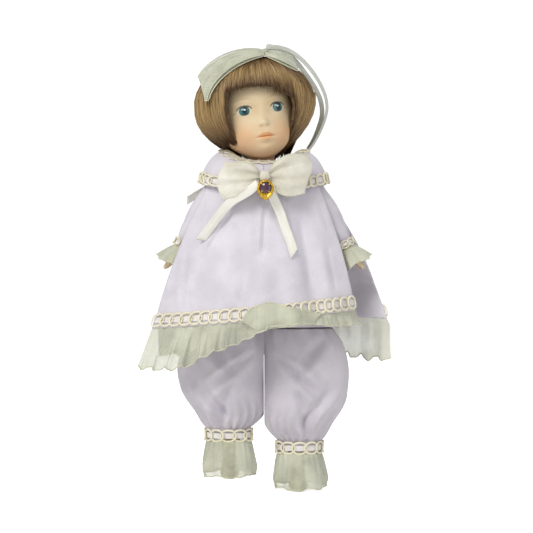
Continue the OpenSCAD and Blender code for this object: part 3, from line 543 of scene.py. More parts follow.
# %% The painted face
def paint_face():
    """Layers from the skin up: cheeks, painted shade under the jaw and down the neck, chin, painted shade by
    the nose and in the nostrils, a painted highlight on the nose tip, lips, whites, irises, pupils, painted
    shade under the upper lids, painted highlights, lid lines and lashes.
    """
    mat, tree, shader, skin, uv = bisque("painted_bisque")
    axes = add(tree, "SeparateXYZ", {0: uv})
    x, z = axes.outputs[0], axes.outputs[1]
    side, ax = sums(tree, "SIGN", x), sums(tree, "ABSOLUTE", x)
    ex = sums(tree, "SUBTRACT", x, sums(tree, "MULTIPLY", side, EYE_X))
    out = sums(tree, "SUBTRACT", ax, EYE_X)
    paint = skin

    def layer(mask, hue, strength=1.0):
        nonlocal paint
        paint = blendc(tree, sums(tree, "MULTIPLY", mask, strength), paint, colour(*hue))

    layer(oval_mask(tree, ax, z, 14.5, 19, 9.5, 9, 0.75), (226, 164, 112), 0.5)
    # painted shade: the face darkens below the jaw line and all the way down the neck
    layer(step(tree, z, 8.0, 14.0, 1, 0), (196, 138, 100), 0.5)
    layer(oval_mask(tree, x, z, 0, 12.5, 5, 3.5, 0.7), (226, 190, 146), 0.4)
    # painted shade beside the bridge of the nose, then painted shade in the nostrils
    layer(oval_mask(tree, ax, z, 4.2, 38, 2.4, 3.6, 0.8), (200, 164, 118), 0.22)
    layer(oval_mask(tree, ax, z, 2.2, 27.3, 1.3, 0.8, 0.7), (190, 142, 100), 0.38)
    # a painted highlight on the tip of the nose
    layer(oval_mask(tree, x, z, 0, 29.6, 1.6, 1.6, 0.7), (238, 220, 190), 0.5)
    # Lips: parabolas above and below a nearly straight seam
    across = sums(tree, "DIVIDE", x, 5.9)
    up = sums(tree, "SUBTRACT", 1.0, sums(tree, "MULTIPLY", across, across))
    rise = sums(tree, "SUBTRACT", z, 20.4)
    bow = sums(tree, "MULTIPLY_ADD", oval_mask(tree, x, z, 0, 22.8, 1.1, 2.0, 0.8), -0.35, 2.8)
    upper = sums(tree, "MULTIPLY", step(tree, sums(tree, "SUBTRACT", sums(tree, "MULTIPLY", up, bow), rise),
                                        0.0, 0.7),
                 step(tree, rise, -0.25, 0.1))
    narrow = sums(tree, "DIVIDE", x, 5.0)
    down = sums(tree, "MULTIPLY", sums(tree, "SUBTRACT", 1.0, sums(tree, "MULTIPLY", narrow, narrow)), 3.1)
    lower = sums(tree, "MULTIPLY", step(tree, sums(tree, "ADD", down, rise), 0.0, 0.8),
                 step(tree, rise, 0.1, -0.25))
    layer(lower, (234, 180, 130), 0.85)
    layer(upper, (222, 156, 100), 0.88)
    layer(oval_mask(tree, x, z, 0, 20.35, 5.7, 0.4, 0.6), (178, 108, 62), 0.8)
    # Eyes
    layer(oval_mask(tree, out, z, 0.3, EYE_Z - 0.1, 4.6, 2.9, 0.16), (216, 212, 190), 0.75)
    layer(oval_mask(tree, ex, z, 0, EYE_Z, 3.25, 2.9, 0.09), (20, 70, 74))
    layer(oval_mask(tree, ex, z, -1.0, EYE_Z - 0.3, 1.9, 2.2, 0.5), (74, 148, 150), 0.6)
    layer(oval_mask(tree, ex, z, 1.9, EYE_Z + 0.2, 0.8, 1.6, 0.6), (96, 168, 166), 0.4)
    layer(oval_mask(tree, ex, z, 0.1, EYE_Z - 0.1, 1.6, 1.65, 0.25), (12, 18, 26))
    layer(oval_mask(tree, ex, z, 0, EYE_Z - 2.0, 2.4, 0.7, 0.6), (14, 60, 58), 0.7)
    # painted shade of the upper lid across the top of each iris
    layer(oval_mask(tree, ex, z, 0, EYE_Z + 2.3, 3.1, 1.1, 0.5), (16, 40, 44), 0.8)
    # painted highlights: a pale glint and a white spot on each iris
    layer(oval_mask(tree, ex, z, -0.9, EYE_Z + 1.2, 1.0, 0.6, 0.6), (180, 222, 222), 0.75)
    layer(oval_mask(tree, ex, z, 0.35, EYE_Z + 0.75, 0.55, 0.5, 0.3), (240, 252, 252))
    # The upper lid's line is the top of a ring, its lashes are cut from a wider ring by a fine wave
    dx, dz = sums(tree, "DIVIDE", out, 4.7), sums(tree, "DIVIDE", sums(tree, "SUBTRACT", z, EYE_Z - 0.2), 3.3)
    away = sums(tree, "SQRT", sums(tree, "ADD", sums(tree, "MULTIPLY", dx, dx),
                                   sums(tree, "MULTIPLY", dz, dz)))
    upward = step(tree, dz, 0.05, 0.45)
    ring = sums(tree, "MULTIPLY", step(tree, away, 0.88, 0.97), step(tree, away, 1.02, 1.12, 1, 0))
    layer(sums(tree, "MULTIPLY", ring, upward), (46, 34, 26), 0.92)
    comb = step(tree, sums(tree, "SINE", sums(tree, "MULTIPLY", out, 7.5)), 0.2, 0.8)
    fan = sums(tree, "MULTIPLY", step(tree, away, 1.0, 1.06), step(tree, away, 1.2, 1.4, 1, 0))
    layer(sums(tree, "MULTIPLY", sums(tree, "MULTIPLY", fan, comb), step(tree, dz, 0.3, 0.6)), (44, 32, 24),
          0.8)
    corner = sums(tree, "ADD", z, sums(tree, "MULTIPLY", out, 0.42))
    layer(oval_mask(tree, out, corner, 5.9, EYE_Z + 1.8, 1.4, 0.3, 0.6), (120, 88, 56), 0.5)
    crease = sums(tree, "MULTIPLY", step(tree, away, 1.45, 1.55), step(tree, away, 1.6, 1.8, 1, 0))
    layer(sums(tree, "MULTIPLY", crease, step(tree, dz, 0.4, 0.9)), (186, 152, 108), 0.3)
    arch = sums(tree, "ADD", z, sums(tree, "MULTIPLY", sums(tree, "MULTIPLY", out, out), 0.045))
    layer(oval_mask(tree, out, arch, 0.5, 46.0, 6.0, 0.8, 0.7), (190, 156, 110), 0.3)
    tree.links.new(paint, shader.inputs["Base Color"])
    glossy = oval_mask(tree, ex, z, 0, EYE_Z, 3.3, 2.9, 0.1)
    tree.links.new(step(tree, glossy, 0, 1, 0.5, 0.08), shader.inputs["Roughness"])
    tree.links.new(glossy, shader.inputs["Coat Weight"])
    return mat


painted_bisque = paint_face()
print("face painted with", len(painted_bisque.node_tree.nodes), "nodes")

# %% [markdown]
# ## Hair, metal, glass and the rest
# The wig is fine synthetic hair: many thin strands, each a slightly different brown, with a long soft painted
# highlight and painted shade at their cut ends. The brooch is polished gilt metal round a dark cut stone.
# Inside are a cork pate, a net cap and the plated steel that holds the head on.

# %% Other finishes
def make_hair():
    mat, tree, shader, spot, uv = blank("brown_hair")
    strand = placed(tree, "strands", Vector=uv, Across=0.3, Along=40.0)
    lock = placed(tree, "strands", Vector=uv, Across=2.2, Along=60.0)
    along = add(tree, "Attribute", attribute_name="along").outputs["Fac"]
    ragged = sums(tree, "MULTIPLY_ADD", lock.outputs["Tone"], 0.16, sums(tree, "SUBTRACT", along, 0.08))
    # band is a painted highlight: a lighter stretch part way along each strand, added to the tone below
    band = sums(tree, "MULTIPLY", step(tree, ragged, 0.5, 0.72), step(tree, ragged, 0.92, 0.8))
    tone = sums(tree, "MULTIPLY_ADD", lock.outputs["Tone"], 0.45,
                sums(tree, "MULTIPLY", strand.outputs["Tone"], 0.4))
    tone = sums(tree, "ADD", tone, sums(tree, "MULTIPLY_ADD", band, 0.42, -0.06))
    # painted shade: the last stretch of each strand, at its cut end, is darker
    tone = sums(tree, "SUBTRACT", tone, sums(tree, "MULTIPLY", step(tree, ragged, 0.88, 1.0), 0.3))
    brown = blendc(tree, step(tree, tone, 0.05, 0.6), colour(84, 60, 36), colour(146, 116, 74))
    tree.links.new(blendc(tree, step(tree, tone, 0.55, 1.05), brown, colour(188, 160, 110)),
                   shader.inputs["Base Color"])
    shader.inputs["Roughness"].default_value = 0.42
    shader.inputs["Specular IOR Level"].default_value = 0.45
    shader.inputs["Anisotropic"].default_value = 0.6
    bumped(tree, shader, strand.outputs["Height"], 0.0002, 0.7)
    return mat


def make_metal(name, low, high, roughness):
    mat, tree, shader, spot, uv = blank(name)
    wear = placed(tree, "mottle", Vector=spot, Size=0.0015)
    tree.links.new(blendc(tree, wear.outputs[0], low, high), shader.inputs["Base Color"])
    tree.links.new(step(tree, wear.outputs[0], 0, 1, roughness * 0.7, roughness * 1.3),
                   shader.inputs["Roughness"])
    shader.inputs["Metallic"].default_value = 1.0
    bumped(tree, shader, wear.outputs[0], 0.00001, 0.3)
    return mat


def make_matter(name, low, high, size, roughness, depth):
    """A plain rough material, such as cork or leather, with grains of its own size in metres."""
    mat, tree, shader, spot, uv = blank(name)
    grain = add(tree, "TexVoronoi", {"Vector": spot, "Scale": 1 / size})
    cloud = placed(tree, "mottle", Vector=spot, Size=size * 3)
    tone = sums(tree, "MULTIPLY_ADD", grain.outputs["Distance"], 0.6,
                sums(tree, "MULTIPLY", cloud.outputs[0], 0.5))
    tree.links.new(blendc(tree, tone, low, high), shader.inputs["Base Color"])
    shader.inputs["Roughness"].default_value = roughness
    bumped(tree, shader, grain.outputs["Distance"], depth, 0.6)
    return mat


def make_stone():
    mat, tree, shader, spot, uv = blank("plum_stone")
    cloud = placed(tree, "mottle", Vector=spot, Size=0.002)
    tree.links.new(blendc(tree, cloud.outputs[0], colour(46, 18, 40), colour(104, 50, 84)),
                   shader.inputs["Base Color"])
    shader.inputs["Roughness"].default_value = 0.06
    shader.inputs["Coat Weight"].default_value = 0.6
    shader.inputs["Specular IOR Level"].default_value = 0.9
    return mat


brown_hair = make_hair()
gilt = make_metal("gilt", colour(214, 166, 42), colour(250, 214, 96), 0.2)
plated_steel = make_metal("plated_steel", colour(150, 150, 154), colour(206, 206, 210), 0.3)
cork = make_matter("cork", colour(120, 84, 50), colour(188, 148, 100), 0.0012, 0.9, 0.0002)
leather = make_matter("leather", colour(84, 52, 32), colour(134, 92, 60), 0.0006, 0.6, 0.0001)
wig_net = woven("wig_net", colour(62, 46, 30), colour(104, 80, 54), 0.9, 0.9, 0.1)
plum_stone = make_stone()
print("finishes in all:", len(bpy.data.materials))

# %% Finishes for the hard CAD pieces that stay
for node, finish in {"crown_pate": cork, "shoulder_plate": plain_bisque, "neck_bolt": plated_steel,
                     "neck_washer": leather, "neck_spring": plated_steel, "neck_nut": plated_steel,
                     "back_snaps": plated_steel}.items():
    for held in frame["nodes"][node].material_slots:
        held.material = finish
print("CAD pieces finished")

# %% [markdown]
# ## Free ribbons
# Five ribbons hang free: two narrow ones from the bow in the hair, the two satin tails under the brooch and
# the end of the back tie. Each is a flat band carried along given points, with its own length, and
# cut ends. The width lies across the path, turned by an outward direction, and cups slightly.

# %% Ribbons
def ribbon(name, node, route, width, face, body, finish, twist=0.0, slant=0.0):
    """A band of that width along the route: across each point, out to both sides, with its middle raised a
    little. Its ends are cut at a slant, and twist turns it about its path from one end to the other."""
    path = smooth(np.asarray(route, float), 34)
    ahead = unit(np.gradient(path, axis=0))
    side = unit(np.cross(ahead, np.asarray(face, float)))
    up = np.cross(side, ahead)
    turn = np.radians(twist) * ease(np.linspace(0, 1, len(path)))[:, None]
    side, up = side * np.cos(turn) + up * np.sin(turn), up * np.cos(turn) - side * np.sin(turn)
    v = np.linspace(-1, 1, 9)
    band = path[:, None] + side[:, None] * v[:, None] * width / 2 + up[:, None] * (0.25 * (1 - v**2))[:, None]
    band[-1] += ahead[-1] * (v * slant)[:, None]
    edge = np.concatenate([band[:, :, :], band[:, ::-1, :] - up[:, None] * 0.28], 1)
    made_of = grid_part(edge, wrap=True, caps=True)
    obj = piece(name, made_of, [finish], body, node)
    length_of(path) * 0.001
    print(name, round(length_of(path), 1), "mm long,", width, "mm wide")
    return obj


in_hair = lambda route: turned(route, lean=LEAN, at=NECK)
at_shoulders = lambda route: np.asarray(route, float) + [0, 0, SHOULDER[2]]
LONG_RIBBON = [[13, -9, 78.3], [21, -4, 77.8], [29, 1, 74.5], [36.5, 5, 67.5], [43, 8, 57], [47, 10, 46],
               [47.5, 11, 36], [44.5, 12, 27.5], [40, 13, 20], [35, 14, 13.5], [30, 15, 9]]
SHORT_RIBBON = [[14, -5, 79.6], [22, 1.5, 77.4], [30, 6, 70.6], [36.5, 9, 60], [41.5, 12, 50], [44, 13.5, 41],
                [43.5, 14.5, 32], [40, 15.5, 24], [35.5, 16.5, 16.5], [31, 17, 11]]
RIGHT_TAIL = [[-3.5, -36.5, 0], [-9, -35.5, -4.5], [-15, -33, -8], [-21, -30, -11.5], [-27, -28, -18],
              [-33, -26.5, -26], [-40, -25.5, -35.5]]
LEFT_TAIL = [[3.5, -35, -1], [5, -33, -6.5], [7.5, -31.5, -12.5], [10.5, -31, -19], [13.5, -32, -28],
             [16.5, -34, -36], [19, -35.5, -44.5]]
BACK_TIE = [[-3, 31, 8], [-14, 30, 7], [-26, 26, 4.5], [-36, 20.5, 0.5], [-44, 16.5, -4], [-51, 15, -8.5]]
ribbon("hair_ribbon_outer", "hair_ribbon_long", in_hair(LONG_RIBBON), 3, (0.35, -1, 0.1), "head", pale_ribbon,
       twist=50)
ribbon("hair_ribbon_inner", "hair_ribbon_short", in_hair(SHORT_RIBBON), 3, (0.3, -1, 0.1), "head",
       pale_ribbon,
       twist=-40)
ribbon("right_satin_tail", "ribbon_tail_right", at_shoulders(RIGHT_TAIL), 6, (0.2, -1, 0.5), "torso",
       satin_ribbon,
       twist=28, slant=1.6)
ribbon("left_satin_tail", "ribbon_tail_left", at_shoulders(LEFT_TAIL), 6, (0, -1, 0), "torso", satin_ribbon,
       twist=-14, slant=2.4)
ribbon("back_tie_end", "back_ribbon", at_shoulders(BACK_TIE), 5, (-0.35, 1, 0), "torso", satin_ribbon,
       twist=20, slant=1.5)

# %% [markdown]
# ## The head
# The bisque head is one shell with its neck and its ball. It is worked out as rings: each ring has a height
# at the front and at the back, a half-width and two depths, and the rings are joined smoothly. The face is
# then raised on the front with soft bumps and hollows, one for each feature.

# %% Head
HEAD_RINGS = np.array([
    # front height, back height, half-width, depth in front, depth behind
    [-8.8, -8.8, 1.8, 1.8, 1.8], [-7.8, -7.8, 4.6, 4.6, 4.6], [-4.6, -4.6, 7.8, 7.8, 7.8], [0, 0, 9, 9, 9],
    [4.4, 4.6, 8.2, 8.2, 8.2], [7.4, 8.8, 8.0, 8.6, 8.0], [7.5, 12, 8.8, 12.8, 9.2],
    [8.6, 14, 11.2, 16.8, 11.6],
    [11, 16.5, 14.8, 20.0, 14.6], [14, 19, 18.2, 22, 17.6], [18, 22, 21.2, 23, 20.4],
    [23, 26, 23.4, 23.7, 22.6],
    [28.5, 30, 24.3, 24.0, 24.2], [34, 34.5, 24.8, 23.7, 24.8], [40, 40, 25, 24.2, 25.2],
    [46, 46, 24.4, 24.6, 24.6],
    [52, 52, 22.6, 23.2, 22.7], [57, 57, 19.4, 19.9, 19.5], [61, 61, 14.6, 15, 14.8],
    [62.2, 62.2, 12.6, 13, 12.8]])


def swell(x, z, cx, cz, sx, sz):
    """A soft round hill at (cx, cz): exp of minus the squared distance in units of its reach."""
    return np.exp(-((x - cx) / sx) ** 2 - ((z - cz) / sz) ** 2)


def face_relief(x, z):
    """Millimetres the face stands out: sockets, eyeballs, nose, lips, chin and cheeks added up."""
    ax = np.abs(x)
    lids = np.exp(-((np.hypot((ax - EYE_X) / 4.9, (z - EYE_Z) / 3.4) - 1.0) / 0.2) ** 2)
    return (-1.3 * swell(ax, z, 9.8, 38.8, 6.4, 4.8) + 1.0 * swell(ax, z, EYE_X, EYE_Z, 4.2, 3.2)
            + 0.3 * lids * ease((z - EYE_Z + 1) / 2) + 0.1 * lids
            + 2.2 * swell(x, z, 0, 29.2, 2.5, 2.2) + 0.5 * swell(x, z, 0, 32.5, 3.0, 4.0)
            + 0.6 * swell(ax, z, 2.3, 28.0, 1.3, 1.2) - 0.3 * swell(ax, z, 1.5, 26.9, 0.9, 0.6)
            - 0.25 * swell(x, z, 0, 25.0, 0.9, 1.4) + 1.5 * swell(x, z, 0, 20.6, 6.5, 5.0)
            + 0.8 * swell(x, z, 0, 21.9, 4.2, 1.3) + 0.25 * swell(ax, z, 1.5, 22.6, 1.2, 0.8)
            + 1.0 * swell(x, z, 0, 18.6, 3.4, 1.4) - 0.7 * swell(x, z, 0, 20.35, 5.2, 0.45)
            - 0.35 * swell(ax, z, 6.6, 20.3, 1.0, 1.0) - 0.6 * swell(x, z, 0, 15.9, 4.2, 1.2)
            + 1.2 * swell(x, z, 0, 12.0, 5.5, 3.6) + 1.9 * swell(ax, z, 13, 20, 7, 7.5))


def head_grid(rows=150, cols=200):
    """Rings from the crown down; the angle is packed more tightly round the face."""
    ring = smooth(HEAD_RINGS, rows)[::-1]
    t = np.linspace(0, 2 * np.pi, cols, endpoint=False)
    a = t - 0.45 * np.sin(t)
    a = a + np.pi / 2
    front, back, wide, deep, hind = (ring[:, k, None] for k in range(5))
    ahead = (1 - np.sin(a)) / 2
    x = wide * np.cos(a)
    y = np.where(np.sin(a) < 0, deep, hind) * np.sin(a)
    z = mix(back, front, ahead)
    facing = np.clip(-np.sin(a), 0, 1)
    y = y - face_relief(x, z) * ease(facing * 1.6) * ease((z - 5) / 4)
    uv = np.stack([np.where(np.sin(a) < 0.12, x, x + 300), z + 0 * x], -1)
    uv = np.concatenate([uv, uv[:, :1]], 1)
    return np.stack([x, y, z], -1), uv


grid, uv = head_grid()
on_head = lambda p: turned(p, lean=LEAN, turn=TURN, at=NECK)
piece("bisque_head", grid_part(on_head(grid), wrap=True, uv=uv), [painted_bisque], "head",
      "head_shell", thick=1.6)
print("head", (grid.max((0, 1)) - grid.min((0, 1))).round(1), "mm")

# %% [markdown]
# ## The wig
# The wig is a bob: its strands run from a whorl near the bow, over the crown and down to a cut edge that is
# high over the face and low everywhere else. A plain inner shell stops light passing through, and a few
# hundred flattened locks lie over it. All the locks are worked out at once, as one four-way array.

# %% Wig
HAIR_R, HAIR_WIDE, HAIR_TOP, FRINGE, HAIR_FOOT = 40.0, 42.8, 75.0, 47.4, 16.0
WHORL = np.array([9.0, -9.0])


def hair_edge(a, nape=0.0):
    """Cut edge: an arched fringe in front and the bob's foot elsewhere. nape lowers the back."""
    off = np.abs((np.degrees(a) + 270) % 360 - 180)
    fringe = FRINGE + 1.2 - 3.4 * (off / 34) ** 2
    foot = HAIR_FOOT - nape * ease((off - 70) / 30) - 2.6 * (nape > 0) * ease((off - 125) / 30)
    return mix(fringe, foot, ease((off - 33) / 11)) - HAIR_R * 0.7 * np.cos(a) * np.tan(np.radians(-LEAN))


def hair_radius(z, off):
    """An ellipse above the widest height and a parabola below it, curling in."""
    above = np.sqrt(np.maximum(0, 1 - ((z - HAIR_WIDE) / (HAIR_TOP - off - HAIR_WIDE)) ** 2))
    return np.where(z > HAIR_WIDE, (HAIR_R - off) * above, HAIR_R - off - 0.0235 * (HAIR_WIDE - z) ** 2)


def hair_point(a, t, off, nape=0.0):
    """From the whorl at t 0, a quarter turn down to the edge at t 1, at the angle a round the head."""
    z = mix(HAIR_TOP - off, hair_edge(a, nape), 1 - np.cos(np.pi / 2 * t))
    r = np.maximum(hair_radius(z, off), (13.5 + 0.6 * z) * (nape > 0) * (z < 30))
    x, y = r * np.cos(a), r * np.sin(a) * (0.88 + 0.1 * np.sin(a))
    drift = (1 - np.clip(t, 0, 1)) ** 2.2
    x, y = x + WHORL[0] * drift, y + WHORL[1] * drift
    far = np.clip(np.hypot(x, y / 0.9) / (HAIR_R - off), 0, 0.999)
    top = HAIR_WIDE + (HAIR_TOP - off - HAIR_WIDE) * np.sqrt(1 - far**2)
    return np.stack([x, y, np.where(z > HAIR_WIDE + 4, np.minimum(z + 3, top), z)], -1)


def locks(count, off, wide, high, seed, wander=0.03, uneven=0.02, rows=13, reach=(0.0, 1.0), nape=0.0,
          sector=(0, 360)):
    """Many flattened tubes that start at the whorl, side by side round the head, as one array."""
    chance = np.random.default_rng(seed)
    a = np.radians(mix(*sector, (np.arange(count) + chance.uniform(-0.4, 0.4, count)) / count))
    t = np.linspace(0, 1, rows) ** 0.8 * (reach[1] - reach[0]) + reach[0]
    end = 1 + chance.normal(0, uneven, (count, 1))
    sway = (chance.normal(0, wander, (count, 1)) * np.sin(np.pi * t)
            + chance.normal(0, wander / 2, (count, 1)) * t)
    lift = off + chance.uniform(-0.35, 0.35, (count, 1)) + 0 * t
    path = hair_point(a[:, None] + sway, t * end, lift, nape)
    out = unit(path * [1, 1, 0.9] - [0, 0, 34] * np.ones_like(path) * 0.9 + [0, 0, 1e-3])
    shape = np.sqrt(np.clip(t * 6, 0.05, 1)) * np.clip((1.03 - t) * 9, 0.25, 1)
    spread = mix(0.35, 1.0, np.clip(np.hypot(path[..., 0], path[..., 1]) / 30, 0, 1))
    tubes = tube(path, out, wide * shape * spread * chance.uniform(0.75, 1.2, (count, 1)),
                 high * shape + 0 * path[..., 0], 4)
    part = grid_part(on_head(tubes), wrap=True, caps=True)
    part["along"] = np.broadcast_to(t[None, :, None], tubes.shape[:3]).ravel()
    part["uv"] = part["uv"] + chance.uniform(0, 900, (count, 1, 1, 2)) * [1, 0.2]
    return part


a, t = np.linspace(0, 2 * np.pi, 120, endpoint=False), np.linspace(0.02, 1, 40)
under = hair_point(a[None], t[:, None] * 0.985, 2.2)
inner = hair_point(a[None], t[::-1][:, None] * 0.985, 4.6)
shell = grid_part(on_head(np.concatenate([under, inner])), wrap=True, caps=True)
shell["along"] = np.repeat(np.concatenate([t, t[::-1]]), len(a))
layers = [shell, locks(520, 1.7, 0.8, 0.42, 3, 0.015, 0.008), locks(620, 1.0, 0.5, 0.34, 4, 0.03, 0.012),
          locks(420, 0.5, 0.3, 0.24, 5, 0.05, 0.02),
          locks(300, 5.2, 0.9, 0.5, 6, 0.02, 0.01, 13, (0.5, 1.0), 4.0, (-15, 195))]
wig = piece("bob_wig", layers, [brown_hair], "head", "wig")
along = wig.data.attributes.new("along", "FLOAT", "POINT")
along.data.foreach_set("value", np.concatenate([part["along"] for part in layers]).astype(np.float32))
print("wig:", len(wig.data.polygons), "faces")

# %% [markdown]
# ## Bows
# A bow's loop is a band that goes out from the knot and comes back over itself. Cut across, it is a long
# flat oval, so one angle runs round the oval and the other number runs across the band. Pleats fan out
# from the knot and fade. The hair bow lies down over the crown; the chest bow stands in front of the neck.

# %% Organza loops
def loop_band(x0, x1, half_at_knot, half, puff, pleats, phase, rows=64, cols=25):
    """(distance along x, place across the band, height off what it lies on) of a loop round its oval.
    Its height is puff sin(angle), and pleats add a ripple that fades away from the knot."""
    angle = np.linspace(0.12, 2 * np.pi - 0.12, rows)[:, None]
    v = np.linspace(-1, 1, cols)[None]
    far = (1 - np.cos(angle)) / 2
    across = v * mix(half_at_knot, half, np.sqrt(np.sin(np.pi / 2 * np.clip(far * 1.15, 0, 1))))
    ripple = (np.sin(pleats * np.pi * v + phase) * (1 - far) ** 0.8
              + 0.35 * np.sin(3 * np.pi * v + phase) * far)
    height = puff * np.sin(angle) * (1 - 0.35 * v**2) + 0.9 * ripple
    return mix(x0, x1, far) + 0 * v, across, height


def over_crown(x, y, lift):
    """On the hair, raised by lift: the ellipsoid of the crown with its radii grown by lift."""
    inside = 1 - (x / (HAIR_R + lift)) ** 2 - (y / (HAIR_R * 0.88 + lift)) ** 2
    return np.stack([x, y, HAIR_WIDE + (HAIR_TOP - HAIR_WIDE + lift) * np.sqrt(np.maximum(0.02, inside))], -1)


def rim(grid, radius, out=(0, -1, 0), finish=1):
    """A rolled edge: fine cords along both long edges of a band."""
    return [grid_part(tube(edge, out, radius), wrap=True, caps=True, finish=finish)
            for edge in (grid[:, 0], grid[:, -1])]


def hair_loop(x1, half, phase):
    x, across, height = loop_band(9, x1, 3.4, half, 1.5, 3, phase)
    reach = (x - 9) / (x1 - 9)
    back = (1 + across / half) / 2
    return on_head(over_crown(x, -12.5 - 1.5 * reach + across * (1 - 0.35 * reach**4),
                              2.0 + height * 0.8 + 3.0 * back**1.5))


left_loop, right_loop = hair_loop(-35.0, 11.5, 0.4), hair_loop(28.5, 9.0, 1.9)
bow = piece("hair_bow_loops", [grid_part(left_loop), grid_part(right_loop)] + rim(left_loop, 0.28, (0, 0, 1))
            + rim(right_loop, 0.28, (0, 0, 1)), [sage_organza, rolled_thread], "head", "hair_bow")


def knot_grid(wide, high, deep, folds, rows=26, cols=48):
    """A ball drawn in by folds: the radius dips with the sine of so many waves round it."""
    p = np.linspace(0.06, np.pi - 0.06, rows)[:, None]
    a = np.linspace(0, 2 * np.pi, cols, endpoint=False)[None]
    r = 1 + 0.09 * np.sin(folds * a + 2 * np.cos(p)) * np.sin(p)
    return np.stack([wide * r * np.sin(p) * np.cos(a), deep * r * np.sin(p) * np.sin(a),
                     high * np.cos(p) + 0 * a], -1)


gather = on_head(knot_grid(3.0, 2.0, 4.2, 9) + over_crown(9, -12, 2.6))
piece("hair_bow_gather", grid_part(gather, wrap=True, caps=True), [sage_organza], "head",
      "hair_bow_knot")
print("hair bow", bow.dimensions[:])


def chest_loop(x0, x1, rise, half, phase):
    """A standing loop in front of the chest: x outwards, the band's width up and down, height forwards."""
    x, across, height = loop_band(x0, x1, 3.0, half, 1.3, 3.2, phase)
    v, far = across / half, (x - x0) / (x1 - x0)
    creases = (sum(np.exp(-((v - c * (0.3 + 0.7 * far)) / 0.11) ** 2) for c in (-0.42, 0.16, 0.6))
               * (1 - far) ** 0.6)
    y = (-32.6 + 4.5 * far**2 - height - 0.5 * np.sin(np.pi * far) + 0.8 * creases
         + 0.6 * np.sin(4 * v + 4 * far))
    x = x0 + (x - x0) * (1 - 0.06 * np.abs(v) ** 3 + 0.07 * np.sin(2.6 * v + phase))
    droop = 1.8 * np.sin(4 * far + phase) * far * v - 1.5 * far * v**2
    return np.stack([x, y, SHOULDER[2] + 4 + rise * far + across + droop], -1)


lobes = {}
for side, values in {"left": (3.0, 29.0, 3.8, 14.0, 0.7), "right": (-3.0, -28.0, -0.5, 12.2, 2.2)}.items():
    band = chest_loop(*values)
    grid = grid_part(band, flip=side == "right")
    lobes[side] = piece("chest_bow_" + side + "_loop", [grid] + rim(band, 0.25),
                        [ivory_organza, rolled_thread],
                        "torso", "chest_bow_" + side)
knot_at = np.array([0.5, -35.2, SHOULDER[2] + 4.6])
piece("chest_bow_wrap", grid_part(knot_grid(3.2, 3.8, 3.2, 7) + knot_at, wrap=True, caps=True),
      [ivory_organza],
      "torso", "chest_bow_knot")
print("chest bow made")

# %% [markdown]
# ## Looped braid
# The trim is a gimp: a chain of corded loops, each lying over the next, on a narrow pearly ribbon. A loop is
# an ellipse a little wider than the pitch, high on one side and low on the other, so that the chain overlaps
# like scales. All the loops are one array, laid on whatever surface the braid is sewn to. A surface here is
# any function of how far along, how high and how far out.

# %% Braid maker
def braid_parts(surface, length, height, radius=0.55, pitch=6.4, closed=False):
    """A chain of corded loops and a ribbon on surface(u, h, off), with u from 0 to 1 and h from -1 to 1."""
    loops = max(3, round(length / pitch))
    parts = []
    angle = np.linspace(0, 2 * np.pi, 17)[None]
    middle = (np.arange(loops)[:, None] + (0.0 if closed else 0.5)) / loops
    ring = lambda wide, high, lift: surface(
        np.clip(middle + wide / loops * np.cos(angle), -9 if closed else 0, 9 if closed else 1),
        high * np.sin(angle), lift - 0.4 * np.cos(angle))
    links = tube(ring(0.62, 0.9, 0.95), unit(ring(0.62, 0.9, 1.95) - ring(0.62, 0.9, 0.95)), radius,
                 radius * 0.8, 4)
    parts.append(grid_part(links, wrap=True))
    u = np.linspace(0, 1, loops * 3 + 1)[None]
    h = np.linspace(0.42, -0.42, 5)[:, None]
    band = surface(u + 0 * h, h + 0.03 * np.sin(2 * np.pi * loops * u), 0.3 + 0 * u * h)
    uv = np.stack(np.broadcast_arrays(h * height / 2, u * length), -1)
    parts.append(grid_part(band, finish=1, uv=uv))
    return parts


def braid(name, surface, length, height, body, stands_for, **more):
    obj = piece(name, braid_parts(surface, length, height, **more), [braid_thread, pearl_satin],
                body, stands_for, weld=True)
    print(name, len(obj.data.polygons), "faces")
    return obj


# %% [markdown]
# ## The collar
# The collar is a gathered cape, open at the back. It is made as a left and a right half that meet under the
# bow. One function gives its surface, and its braid is sewn on with the same function.

# %% Collar and neck lace
COLLAR_W, COLLAR_D, NECKLINE = 41.0, 30.0, 17.0


def collar_at(a, s, off=0.0):
    """A quarter ellipse from the neckline, s 0, to the hem, s 1, with soft flutes that grow to the hem."""
    bend, cosine, sine = np.sin(np.pi / 2 * s), np.cos(a), np.sin(a)
    foot = SHOULDER[2] - 3 + 5 * cosine**4
    rise = (SHOULDER[2] + 14.2 + 4.4 * cosine**4 + 1.0 * np.maximum(0, sine) ** 2
            + 1.4 * np.maximum(0, -sine) ** 4)
    flute = 0.8 * s**2 * np.sin(14 * a + 0.6)
    rise = (rise + 7.5 * np.sin(np.pi * np.clip(s, 0, 1) ** 0.8) * cosine**2
            - 1.2 * (1 - np.clip(s, 0, 1)) ** 4)
    wide = mix(NECKLINE, COLLAR_W, bend) + (off + flute) * bend
    deep = mix(NECKLINE - 3, COLLAR_D, bend) + (off + flute) * bend
    return np.stack([wide * cosine, deep * sine,
                     mix(foot, rise, np.cos(np.pi / 2 * s)) + off * np.cos(np.pi / 2 * s)], -1)


